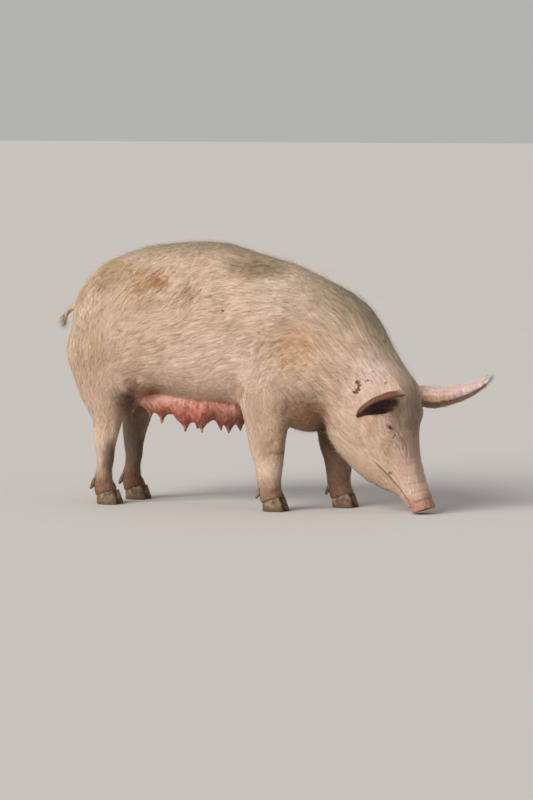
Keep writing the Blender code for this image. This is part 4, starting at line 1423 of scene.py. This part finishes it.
def speck(x: float, y: float, z: float, size: float) -> Patch:
    """A small dark speck on one side."""
    return Patch((x, y, z), (size, size * 2, size * 0.8), (84, 54, 40), (94, 64, 48), 0.92, 0.45, False)


def stain(
    at: Point, half: Point, skin: Shade, bristle: Shade, strength: float, streaky: float, soft: float = 0.9
) -> Patch:
    """A stain on one side, torn along the hair."""
    return Patch(at, half, skin, bristle, strength, soft, False, streaky)


# The tips of one row of teats, as x and z.
TEATS = (
    (-0.345, 0.302),
    (-0.298, 0.290),
    (-0.240, 0.271),
    (-0.168, 0.245),
    (-0.085, 0.243),
    (-0.010, 0.242),
    (0.045, 0.270),
)
PATCHES = (
    # Back, neck, shoulder, flank and belly.
    # Back and neck: grey-olive from mud and hair, partly painted shade where the light grazes the top.
    Patch((-0.05, 0.0, 0.900), (0.66, 0.20, 0.13), (164, 130, 104), (166, 150, 124), 0.80),
    Patch((0.44, 0.0, 0.690), (0.24, 0.18, 0.19), (160, 132, 110), (158, 144, 122), 0.85),
    Patch((0.12, 0.09, 0.798), (0.13, 0.10, 0.048), (126, 98, 72), (136, 116, 88), 0.80),
    Patch((-0.38, 0.15, 0.790), (0.13, 0.11, 0.055), (170, 134, 100), (176, 148, 112), 0.75),
    Patch((-0.33, 0.19, 0.700), (0.14, 0.10, 0.09), (190, 150, 124), (200, 166, 134), 0.50),
    Patch((-0.47, 0.16, 0.500), (0.10, 0.11, 0.15), (180, 138, 108), (188, 154, 120), 0.60),
    Patch((0.29, 0.16, 0.545), (0.11, 0.08, 0.11), (236, 188, 154), (242, 206, 168), 0.75),
    Patch((0.00, 0.21, 0.480), (0.24, 0.10, 0.13), (222, 178, 164), (230, 204, 188), 0.75),
    # Brown stains of the right hip and rump.
    stain((-0.245, -0.18, 0.760), (0.095, 0.09, 0.055), (178, 134, 98), (190, 150, 112), 0.85, 3.0),
    stain((-0.200, -0.18, 0.755), (0.042, 0.08, 0.034), (156, 106, 66), (164, 116, 74), 0.95, 4.0),
    stain((-0.270, -0.18, 0.735), (0.035, 0.08, 0.022), (170, 122, 82), (178, 132, 90), 0.85, 4.0),
    stain((-0.085, -0.19, 0.720), (0.050, 0.08, 0.040), (158, 124, 94), (166, 134, 102), 0.85, 4.0),
    stain((-0.415, -0.11, 0.812), (0.075, 0.10, 0.035), (172, 146, 104), (182, 158, 116), 0.70, 2.5),
    stain((-0.420, -0.16, 0.748), (0.065, 0.08, 0.035), (164, 126, 92), (172, 136, 100), 0.80, 3.5),
    stain((-0.500, -0.13, 0.700), (0.050, 0.08, 0.045), (174, 138, 106), (182, 148, 114), 0.70, 3.5),
    stain((-0.240, -0.20, 0.690), (0.060, 0.07, 0.020), (186, 140, 104), (194, 154, 116), 0.65, 3.0, 0.8),
    # Head, from the root of the ears to the snout, with chin and throat.
    Patch((0.538, 0.11, 0.462), (0.078, 0.08, 0.085), (238, 202, 194), (244, 220, 212), 0.88, 0.95),
    # Forehead: partly its own grey-brown hair and mud, partly painted shade of the side turned from the
    # light.
    Patch((0.665, 0.0, 0.310), (0.050, 0.085, 0.15), (128, 104, 88), (136, 120, 102), 0.70),
    # Painted shadow of the near ear on the face below it and under its root.
    Patch((0.560, -0.115, 0.342), (0.050, 0.05, 0.024), (112, 82, 64), (126, 98, 78), 0.75, 0.9, False),
    Patch((0.614, -0.092, 0.372), (0.022, 0.03, 0.020), (70, 42, 28), (80, 50, 34), 0.92, 0.6, False),
    Patch((0.600, 0.095, 0.296), (0.038, 0.05, 0.044), (214, 158, 150), (216, 178, 168), 0.85),
    Patch((0.616, -0.080, 0.263), (0.0045, 0.03, 0.0045), (100, 44, 34), (110, 56, 42), 0.90, 0.6, False),
    Patch((0.611, -0.082, 0.255), (0.0040, 0.03, 0.0045), (104, 48, 36), (114, 60, 44), 0.85, 0.6, False),
    stain((0.637, -0.06, 0.240), (0.012, 0.04, 0.026), (122, 96, 84), (132, 108, 94), 0.70, 2.0),
    stain((0.648, -0.05, 0.200), (0.012, 0.04, 0.026), (118, 94, 80), (128, 106, 90), 0.65, 2.0),
    Patch((0.540, -0.11, 0.290), (0.030, 0.05, 0.050), (186, 138, 104), (196, 152, 118), 0.55, 0.9, False),
    stain((0.585, -0.08, 0.215), (0.026, 0.05, 0.040), (184, 132, 94), (192, 144, 104), 0.60, 2.0),
    Patch((0.593, -0.062, 0.137), (0.008, 0.03, 0.006), (110, 76, 56), (120, 88, 64), 0.85, 0.5, False),
    Patch((0.635, 0.06, 0.165), (0.060, 0.08, 0.110), (214, 168, 158), (216, 182, 168), 0.75),
    Patch((0.690, 0.0, 0.030), (0.070, 0.10, 0.055), (170, 114, 96), (170, 130, 108), 0.85),
    Patch((0.52, 0.06, 0.120), (0.070, 0.07, 0.050), (186, 148, 120), (192, 160, 132), 0.50),
    # Chest, belly, udder and groin, with painted shade under the chest, in the groin and between ham and
    # udder, and painted bounce light on the belly.
    # Chest: brown partly its own, partly painted shade under the brisket.
    Patch((0.30, 0.10, 0.320), (0.115, 0.14, 0.095), (150, 100, 70), (156, 112, 80), 0.78),
    # Belly: pale pink partly its own, partly painted bounce light on the underside.
    Patch((-0.10, 0.08, 0.350), (0.320, 0.16, 0.055), (238, 184, 164), (242, 206, 184), 0.80),
    Patch((-0.15, 0.06, 0.295), (0.310, 0.14, 0.085), (176, 98, 76), (184, 128, 102), 0.95),
    # Painted shade in the groin.
    Patch((-0.362, 0.09, 0.362), (0.044, 0.10, 0.070), (70, 38, 28), (80, 48, 36), 0.95),
    Patch((-0.268, 0.125, 0.378), (0.058, 0.06, 0.026), (186, 120, 96), (190, 132, 106), 0.90, 0.6),
    # Painted shade between ham and udder, darkest towards the groin.
    Patch((-0.293, 0.168, 0.409), (0.021, 0.05, 0.025), (106, 64, 46), (112, 72, 52), 0.70, 0.95),
    Patch((-0.312, 0.158, 0.389), (0.024, 0.05, 0.026), (82, 46, 32), (88, 54, 38), 0.80, 0.95),
    Patch((-0.332, 0.138, 0.366), (0.025, 0.06, 0.027), (70, 38, 26), (76, 44, 32), 0.88, 0.95),
    # The inner sides of the left legs, brown from mud and painted shade, and the left ear.
    Patch((0.31, 0.045, 0.150), (0.180, 0.105, 0.260), (96, 64, 46), (104, 74, 56), 0.90, 0.6, False),
    Patch((-0.43, 0.030, 0.180), (0.180, 0.115, 0.290), (80, 58, 44), (88, 66, 52), 0.90, 0.6, False),
    Patch((0.74, 0.125, 0.410), (0.135, 0.12, 0.065), (236, 192, 184), (244, 218, 210), 0.95, 0.5, False),
    Patch((0.850, 0.190, 0.440), (0.050, 0.07, 0.060), (232, 216, 202), (248, 244, 236), 0.95, 0.7, False),
    # Feet and lower legs.
    Patch((0.19, 0.12, 0.040), (0.120, 0.12, 0.090), (106, 58, 30), (114, 68, 38), 0.90, 0.95),
    Patch((-0.43, 0.12, 0.045), (0.120, 0.12, 0.095), (104, 58, 30), (112, 68, 36), 0.90, 0.95),
    Patch((0.31, 0.12, 0.040), (0.110, 0.12, 0.085), (116, 70, 42), (124, 80, 50), 0.80, 0.95),
    Patch((0.220, -0.145, 0.196), (0.028, 0.06, 0.008), (104, 80, 62), (112, 90, 70), 0.80, 0.6, False),
    Patch((0.207, -0.16, 0.272), (0.006, 0.05, 0.010), (120, 92, 72), (128, 100, 80), 0.75, 0.6, False),
    Patch((-0.415, 0.125, 0.160), (0.036, 0.05, 0.080), (82, 66, 52), (92, 76, 62), 0.85, 0.8),
    Patch((0.690, 0.10, 0.374), (0.085, 0.10, 0.024), (234, 172, 132), (242, 192, 152), 0.90, 0.8, False),
    stain((0.195, -0.15, 0.215), (0.060, 0.07, 0.070), (136, 106, 84), (146, 118, 94), 0.65, 1.5, 0.95),
    # Thigh, shoulder, upper leg and the front of the udder.
    Patch((-0.40, 0.14, 0.300), (0.070, 0.07, 0.060), (184, 146, 124), (196, 168, 144), 0.50),
    Patch((0.22, 0.16, 0.700), (0.15, 0.10, 0.100), (202, 172, 154), (210, 190, 170), 0.65),
    Patch((0.17, 0.13, 0.300), (0.10, 0.09, 0.170), (184, 148, 124), (190, 164, 140), 0.65),
    Patch((0.00, 0.06, 0.300), (0.10, 0.12, 0.060), (124, 70, 58), (150, 100, 80), 0.60),
    # Specks of cheek, neck, shoulder and elbow, and the teats.
    speck(0.494, -0.12, 0.402, 0.0105),
    speck(0.500, -0.12, 0.415, 0.0105),
    speck(0.504, -0.12, 0.427, 0.0095),
    speck(0.500, -0.12, 0.439, 0.0090),
    speck(0.521, -0.12, 0.440, 0.0085),
    speck(0.524, -0.11, 0.470, 0.0028),
    speck(0.527, -0.11, 0.478, 0.0028),
    speck(0.531, -0.109, 0.441, 0.0045),
    speck(0.546, -0.095, 0.470, 0.0045),
    speck(0.583, -0.088, 0.435, 0.0050),
    speck(0.047, -0.198, 0.668, 0.0050),
    speck(0.060, -0.203, 0.619, 0.0040),
    speck(0.144, -0.195, 0.531, 0.0040),
    *[Patch((x, 0.062, z), (0.013, 0.020, 0.020), (218, 160, 144), (218, 160, 144), 0.85) for x, z in TEATS],
)


@dataclass(frozen=True)
class Markings:
    """The colours that skin and coat share, by the place on the body, with painted shade in some places."""

    skin: Shade = (208, 162, 142)
    bristle: Shade = (226, 202, 176)
    # The inside of the ears: darker skin, partly painted shade of the hollow.
    cup_skin_and_shade: Shade = (34, 15, 10)
    cup_bristle_and_shade: Shade = (64, 36, 24)
    ruddy_skin: Shade = (124, 60, 42)
    ruddy_bristle: Shade = (142, 84, 62)
    # Painted shade multiplied into creases and hollows.
    crease_shade_skin: Factors = (0.42, 0.24, 0.19, 1)
    crease_shade_bristle: Factors = (0.52, 0.36, 0.28, 1)
    dimmed: tuple[float, float] = (0.93, 0.92)
    torn: Point = (9, 110, 110)

    def laid(self, wires: Wires, share: Socket, pair: Pair, over: Pair, how: str = "MIX") -> Pair:
        """Lays one colour over the skin's and another over the bristles'."""
        return tuple(wires.mix(share, old, new, how) for old, new in zip(pair, over))

    def group(self) -> bpy.types.NodeTree:
        """The node group, with a skin colour and a bristle colour."""
        wires = group_of("Markings", "NodeSocketColor", "Skin", "Bristle")
        place = wires.body_place()
        broad = wires.noise(place, 9.0, 3.0).outputs["Color"]
        fine = wires.noise(place, 55.0, 3.0).outputs["Color"]
        wobble = wires.vector("MULTIPLY_ADD", broad, (0.05,) * 3, (-0.025,) * 3)
        small = wires.vector("MULTIPLY_ADD", fine, (0.022,) * 3, (-0.011,) * 3)
        moved = wires.vector("ADD", wires.vector("ADD", place, wobble), small)
        close = wires.vector("ADD", place, small)
        folded = wires.vector("MULTIPLY", wires.vector("ABSOLUTE", moved), (0, 1, 0))
        folded = wires.vector("ADD", folded, wires.vector("MULTIPLY", moved, (1, 0, 1)))
        streak = wires.maths("SUBTRACT", wires.streak(close, -50, self.torn), 0.5)
        tone = wires.span(wires.noise(place, 14.0, 5.0, 0.6).outputs["Fac"], 0.3, 0.7)
        shades = (self.skin, self.bristle)
        dim = [linear(tuple(int(v * part) for v in shade)) for shade, part in zip(shades, self.dimmed)]
        pair = self.laid(wires, tone, tuple(linear(shade) for shade in shades), tuple(dim))
        for patch in PATCHES:
            scale = tuple(1 / v for v in patch.half)
            offset = tuple(-c / v for c, v in zip(patch.at, patch.half))
            source = folded if patch.both else close
            gap = wires.vector("LENGTH", wires.vector("MULTIPLY_ADD", source, scale, offset))
            if patch.streaky:
                gap = wires.maths("ADD", gap, wires.times(streak, patch.streaky))
            share = wires.span(gap, 1.0 - patch.soft, 1.0 + 0.25 * patch.soft, patch.strength, 0.0)
            pair = self.laid(wires, share, pair, (linear(patch.skin), linear(patch.bristle)))
        for name, strength, over, how in (
            ("ruddy", 0.92, (linear(self.ruddy_skin), linear(self.ruddy_bristle)), "MIX"),
            # Painted shade in creases and hollows.
            ("deep", 0.85, (self.crease_shade_skin, self.crease_shade_bristle), "MULTIPLY"),
            # The inside of the ears: darker skin and painted shade of the hollow.
            ("cup", 0.94, (linear(self.cup_skin_and_shade), linear(self.cup_bristle_and_shade)), "MIX"),
        ):
            share = wires.times(wires.attribute(name), strength)
            pair = self.laid(wires, share, pair, over, how)
        wires.node("NodeGroupOutput", {"Skin": pair[0], "Bristle": pair[1]})
        return wires.tree


@dataclass(frozen=True)
class Grain:
    """Fine relief of flat hair, pores and small creases.

    Each size of streak says how fine the noise is along the hair and across it.
    """

    coarse: Point = (9, 120, 120)
    fine: Point = (12, 150, 150)
    short: Point = (16, 150, 150)

    def group(self) -> bpy.types.NodeTree:
        """The node group, with the streaks of the hair and the creases of bare skin."""
        wires = group_of("Grain", "NodeSocketFloat", "Streaks", "Creases")
        place = wires.body_place()
        x, _, z = wires.parts(place)
        bend = wires.noise(place, 6.0, 1.0).outputs["Color"]
        moved = wires.vector("MULTIPLY_ADD", bend, (0.06,) * 3, place)
        trunk = wires.streak(moved, -14, self.coarse)
        neck = wires.streak(moved, 46, self.coarse)
        hip = wires.streak(moved, -50, self.coarse)
        down = wires.streak(moved, 82, self.fine)
        brow = wires.streak(moved, 76, self.fine)
        face = wires.streak(moved, 56, self.short)
        is_neck = wires.span(wires.maths("SUBTRACT", x, wires.times(z, 0.35)), 0.02, 0.16)
        is_face = wires.times(wires.span(x, 0.46, 0.54), wires.span(z, 0.46, 0.36))
        is_brow = wires.span(x, 0.62, 0.65)
        is_hip = wires.times(wires.span(z, 0.60, 0.72), wires.span(x, 0.06, -0.10))
        is_low = wires.maths("MAXIMUM", wires.span(z, 0.50, 0.36), wires.span(x, -0.30, -0.44))
        trunk = wires.between(is_hip, trunk, hip)
        neck = wires.between(is_face, neck, wires.between(is_brow, face, brow))
        streaks = wires.between(is_neck, wires.between(is_low, trunk, down), neck)
        pores = wires.node("ShaderNodeTexVoronoi", {"Vector": place, "Scale": 420.0}).outputs["Distance"]
        squeezed = wires.vector("MULTIPLY", moved, (1.0, 1.0, 0.45))
        lines = wires.noise(squeezed, 95.0, 5.0, 0.62).outputs["Fac"]
        creases = wires.times(wires.span(lines, 0.30, 0.62), wires.span(pores, 0.0, 0.5, 0.75, 1.0))
        wires.node("NodeGroupOutput", {"Streaks": streaks, "Creases": creases})
        return wires.tree


class Finish:
    """Makes a material with a Principled shader."""

    def start(self, name: str, rough: float, **sockets: float) -> tuple[Material, Wires, Node]:
        """A material with its shader.

        Args:
            name: The material.
            rough: Its roughness.
            sockets: More numbers for the shader's sockets.

        Returns:
            The material, its wires and its shader.
        """
        material = bpy.data.materials.new(name)
        material.use_nodes = True
        wires = Wires(material.node_tree)
        shader = next(n for n in material.node_tree.nodes if n.type == "BSDF_PRINCIPLED")
        shader.inputs["Roughness"].default_value = rough
        for key, value in sockets.items():
            shader.inputs[key.replace("_", " ")].default_value = value
        return material, wires, shader

    def bump(self, wires: Wires, shader: Node, height: object, strength: float, distance: float) -> None:
        """Gives the shader a bump."""
        node = wires.node("ShaderNodeBump", {"Height": height, "Strength": strength, "Distance": distance})
        wires.feed(shader.inputs["Normal"], node.outputs["Normal"])


@dataclass(frozen=True)
class MarkedFinish(Finish):
    """A finish that shows the markings and the grain of the animal."""

    markings: bpy.types.NodeTree
    grain: bpy.types.NodeTree

    def shared(self, wires: Wires) -> tuple[Socket, ...]:
        """The outputs of both groups: skin, bristle, streaks and creases."""
        groups = [wires.node("ShaderNodeGroup", {}, node_tree=t) for t in (self.markings, self.grain)]
        return tuple(output for group in groups for output in group.outputs)


@dataclass(frozen=True)
class HideFinish(MarkedFinish):
    """Pink skin with flat hair on it, bare and creased on udder, snout and lids, with painted shade in the
    creases.
    """

    def material(self) -> Material:
        """The material."""
        material, wires, shader = self.start("hide", 0.62, Specular_IOR_Level=0.32)
        skin, bristle, streaks, creases = self.shared(wires)
        bare = wires.attribute("bare")
        streaks = wires.span(streaks, 0.35, 0.65)
        hair = wires.mix(0.62, skin, bristle)
        dark = wires.mix(0.16, hair, (0.30, 0.18, 0.13, 1), "MULTIPLY")
        haired = wires.mix(streaks, dark, hair)
        # Bare skin darkened in its fine creases: painted shade.
        fold = wires.mix(0.62, skin, (0.34, 0.14, 0.10, 1), "MULTIPLY")
        naked = wires.mix(creases, fold, skin)
        colour = wires.mix(bare, haired, naked)
        lid = wires.times(wires.attribute("lid"), 0.75)
        colour = wires.mix(lid, colour, linear((96, 58, 50)))
        wires.feed(shader.inputs["Base Color"], colour)
        wires.feed(shader.inputs["Roughness"], wires.span(bare, 0.0, 1.0, 0.66, 0.50))
        self.bump(wires, shader, wires.between(bare, streaks, creases), 0.8, 0.0028)
        return material


@dataclass(frozen=True)
class BristleFinish(MarkedFinish):
    """Pale bristles, each with its own shade."""

    def material(self) -> Material:
        """The material."""
        material, wires, shader = self.start("bristle", 0.55, Specular_IOR_Level=0.30)
        skin, bristle, streaks, _ = self.shared(wires)
        shade = wires.attribute("shade")
        root = wires.mix(0.40, bristle, skin)
        colour = wires.mix(wires.span(wires.attribute("along"), 0.0, 0.6), root, bristle)
        dark = wires.mix(1.0, colour, (0.62, 0.54, 0.45, 1), "MULTIPLY")
        light = wires.mix(0.8, colour, colour, "SCREEN")
        colour = wires.mix(wires.span(streaks, 0.34, 0.52), dark, colour)
        colour = wires.mix(wires.span(streaks, 0.50, 0.70), colour, light)
        colour = wires.mix(wires.span(shade, 0.0, 0.5, 0.34, 0.0), colour, (0.26, 0.18, 0.12, 1))
        colour = wires.mix(wires.span(shade, 0.75, 1.0, 0.0, 0.40), colour, light)
        wires.feed(shader.inputs["Base Color"], colour)
        return material


@dataclass(frozen=True)
class HornFinish(Finish):
    """Worn, stained horn with level growth rings."""

    dark: Shade = (84, 66, 50)
    pale: Shade = (150, 126, 98)
    rings: float = 520.0

    def material(self) -> Material:
        """The material."""
        material, wires, shader = self.start("horn", 0.58, Specular_IOR_Level=0.35)
        place = wires.body_place()
        wobble = wires.noise(place, 40.0, 2.0).outputs["Color"]
        height = wires.parts(wires.vector("MULTIPLY_ADD", wobble, (0.006,) * 3, place))["Z"]
        ring = wires.maths("SINE", wires.times(height, self.rings))
        ring = wires.maths("MULTIPLY_ADD", ring, 0.5)
        stain = wires.span(wires.noise(place, 60.0, 5.0, 0.65).outputs["Fac"], 0.35, 0.68)
        worn = wires.span(height, 0.004, 0.030)
        colour = wires.mix(stain, linear(self.dark), linear(self.pale))
        colour = wires.mix(worn, linear((96, 72, 54)), colour)
        wires.feed(shader.inputs["Base Color"], colour)
        wires.feed(shader.inputs["Roughness"], wires.span(stain, 0.0, 1.0, 0.70, 0.50))
        both = wires.maths("ADD", wires.times(ring, 0.35), wires.times(stain, 0.6))
        self.bump(wires, shader, both, 0.5, 0.0012)
        return material


@dataclass(frozen=True)
class EyeFinish(Finish):
    """A wet brown eye with a dark pupil, paler at its rim."""

    eye: EyeForm
    iris: Shade = (74, 46, 30)
    white: Shade = (120, 92, 80)

    def material(self) -> Material:
        """The material."""
        material, wires, shader = self.start(self.eye.node, 0.06, Coat_Weight=1.0, Coat_Roughness=0.03)
        middle, _, _, outward = self.eye.frame()
        pole = middle + outward * EYE_RADIUS
        gap = wires.vector("LENGTH", wires.vector("SUBTRACT", wires.body_place(), tuple(pole)))
        pupil = wires.span(gap, 0.0030, 0.0038)
        rim = wires.span(gap, 0.0070, 0.0085)
        rays = wires.noise(wires.body_place(), 900.0, 2.0).outputs["Fac"]
        iris = wires.mix(rays, linear(self.iris), linear((44, 28, 20)))
        colour = wires.mix(pupil, linear((8, 6, 5)), iris)
        colour = wires.mix(rim, colour, linear(self.white))
        wires.feed(shader.inputs["Base Color"], colour)
        return material


@dataclass
class Hooves:
    """The claws and dewclaws, with worn, rounded edges in the place of the faceted nodes."""

    finish: HornFinish
    voxel: float = 0.0015
    rounds: int = 5
    kept: float = 0.22

    def horn(self, name: str) -> Mesh:
        """A rounded copy of one node."""
        mesh = filled(bpy.data.meshes.new(name), merged(name))
        mesh = modified(mesh, "REMESH", mode="VOXEL", voxel_size=self.voxel)
        at = points_of(mesh)
        weight = smooth_step(0.0002, 0.003, at[:, 2])
        set_points(mesh, relaxed(at, edges_of(mesh), weight, self.rounds))
        mesh = modified(mesh, "DECIMATE", ratio=self.kept)
        mesh.shade_smooth()
        return mesh

    def build(self) -> None:
        """Makes every claw and dewclaw in horn."""
        material = self.finish.material()
        for name in [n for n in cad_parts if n.startswith(("claw", "dewclaw"))]:
            mesh = self.horn(name)
            mesh.materials.append(material)
            piece = piece_from(mesh, f"horn_{name}")
            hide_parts(name)
            report(piece.name, mesh)


@dataclass
class Eyes:
    """The two eyeballs, smooth ones in the place of the faceted nodes."""

    forms: tuple[EyeForm, ...]
    front: float = 0.72
    raised: float = 1.03

    def ball(self, form: EyeForm) -> Mesh:
        """A ball with a slightly raised front."""
        middle, _, _, outward = form.frame()
        shape = bmesh.new()
        turn = Vector(outward).to_track_quat("Z", "Y").to_matrix().to_4x4()
        bmesh.ops.create_uvsphere(shape, u_segments=40, v_segments=24, radius=EYE_RADIUS)
        front = [v for v in shape.verts if v.co.z > EYE_RADIUS * self.front]
        bmesh.ops.scale(shape, verts=front, vec=(1, 1, self.raised))
        bmesh.ops.transform(shape, verts=shape.verts, matrix=Matrix.Translation(Vector(middle + BODY)) @ turn)
        mesh = filled(bpy.data.meshes.new("eyeball"), shape)
        mesh.shade_smooth()
        return mesh

    def build(self) -> None:
        """Makes both balls and gives each its wet finish."""
        for form in self.forms:
            side = "right" if form.side < 0 else "left"
            mesh = self.ball(form)
            mesh.materials.append(EyeFinish(form).material())
            ball = piece_from(mesh, f"eyeball_{side}")
            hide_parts(f"eye_{side}")
            report(f"eyeball_{side}", mesh)


@dataclass
class PhotoCamera:
    """The camera at the photograph's viewing angle and framing.

    Angles are in degrees, the scale in pixels for each metre, and zero is the pixel where the
    body's own zero is seen.
    """

    azimuth: float = 25.0
    elevation: float = 3.9
    distance: float = 15.5
    scale: float = 298.0
    size: tuple[int, int] = (533, 800)
    zero: tuple[float, float] = (236.0, 506.0)
    sensor: float = 36.0

    def axes(self) -> tuple[Vector, Vector, Vector]:
        """The ways right, forwards and up, as the camera sees them."""
        a = math.radians(self.azimuth)
        e = math.radians(self.elevation)
        right = Vector((math.cos(a), math.sin(a), 0))
        ahead = Vector((-math.sin(a) * math.cos(e), math.cos(a) * math.cos(e), -math.sin(e)))
        return right, ahead, right.cross(ahead)

    def build(self) -> None:
        """Makes the camera and the scene's use of it."""
        right, ahead, up = self.axes()
        wide, high = self.size
        across, down = self.zero
        aim = right * ((wide / 2 - across) / self.scale) + up * ((down - high / 2) / self.scale)
        place = aim - ahead * self.distance + Vector(BODY)
        data = bpy.data.cameras.new("camera")
        data.sensor_width = self.sensor
        data.lens = self.sensor * self.distance * self.scale / high
        data.clip_end = 200
        camera = placed("camera", data)
        turn = Matrix((right, up, -ahead)).transposed().to_4x4()
        camera.matrix_world = Matrix.Translation(place) @ turn
        bpy.context.scene.camera = camera
        LOG.info("camera: lens %.2f mm", data.lens)


@dataclass
class Studio:
    """A plain pale floor and soft light from the upper left."""

    floor_half: float = 90.0
    floor_shade: Shade = (203, 200, 195)
    sky: Point = (0.45, 0.448, 0.444)
    key: float = 3.25
    key_way: Point = (0.75, 0.80, -0.58)
    key_colour: Point = (1.0, 0.975, 0.94)
    softness: float = 38.0

    def floor(self) -> None:
        """The floor."""
        shape = bmesh.new()
        bmesh.ops.create_grid(shape, x_segments=2, y_segments=2, size=self.floor_half)
        mesh = filled(bpy.data.meshes.new("floor"), shape)
        floor = placed("floor", mesh)
        material, wires, shader = Finish().start("floor", 0.9, Specular_IOR_Level=0.2)
        tone = wires.noise(wires.body_place(), 0.8, 3.0).outputs["Fac"]
        pale = linear(self.floor_shade)
        other = linear(tuple(v - 3 for v in self.floor_shade))
        wires.feed(shader.inputs["Base Color"], wires.mix(tone, pale, other))
        mesh.materials.append(material)

    def lamp(self, way: Vector) -> None:
        """The one lamp, a soft sun that shines along a way."""
        data = bpy.data.lights.new("key", "SUN")
        data.energy = self.key
        data.angle = math.radians(self.softness)
        data.color = self.key_colour
        lamp = placed("key", data)
        lamp.rotation_euler = way.to_track_quat("-Z", "Y").to_euler()

    def build(self, camera: PhotoCamera) -> None:
        """Makes the floor, the lamp and the pale surroundings."""
        self.floor()
        right, ahead, up = (axis * share for axis, share in zip(camera.axes(), self.key_way))
        self.lamp(right + ahead + up)
        world = bpy.data.worlds.new("surroundings")
        world.use_nodes = True
        back = next(n for n in world.node_tree.nodes if n.type == "BACKGROUND")
        back.inputs["Color"].default_value = (*self.sky, 1)
        back.inputs["Strength"].default_value = 1.0
        bpy.context.scene.world = world
        bpy.context.scene.view_settings.view_transform = "Standard"


def main() -> None:
    """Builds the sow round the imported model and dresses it."""
    logging.basicConfig(level=logging.INFO, format="%(name)s: %(message)s", stream=sys.stdout)
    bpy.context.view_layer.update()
    camera = PhotoCamera()
    camera.build()
    Studio().build(camera)
    hide = Hide()
    skin = hide.build()
    markings = Markings().group()
    skin.data.materials.clear()
    grain = Grain().group()
    skin.data.materials.append(HideFinish(markings, grain).material())
    Hooves(HornFinish()).build()
    Eyes(hide.eyes).build()
    Coat(hide).build(BristleFinish(markings, grain).material())


if __name__ == "__main__":
    main()
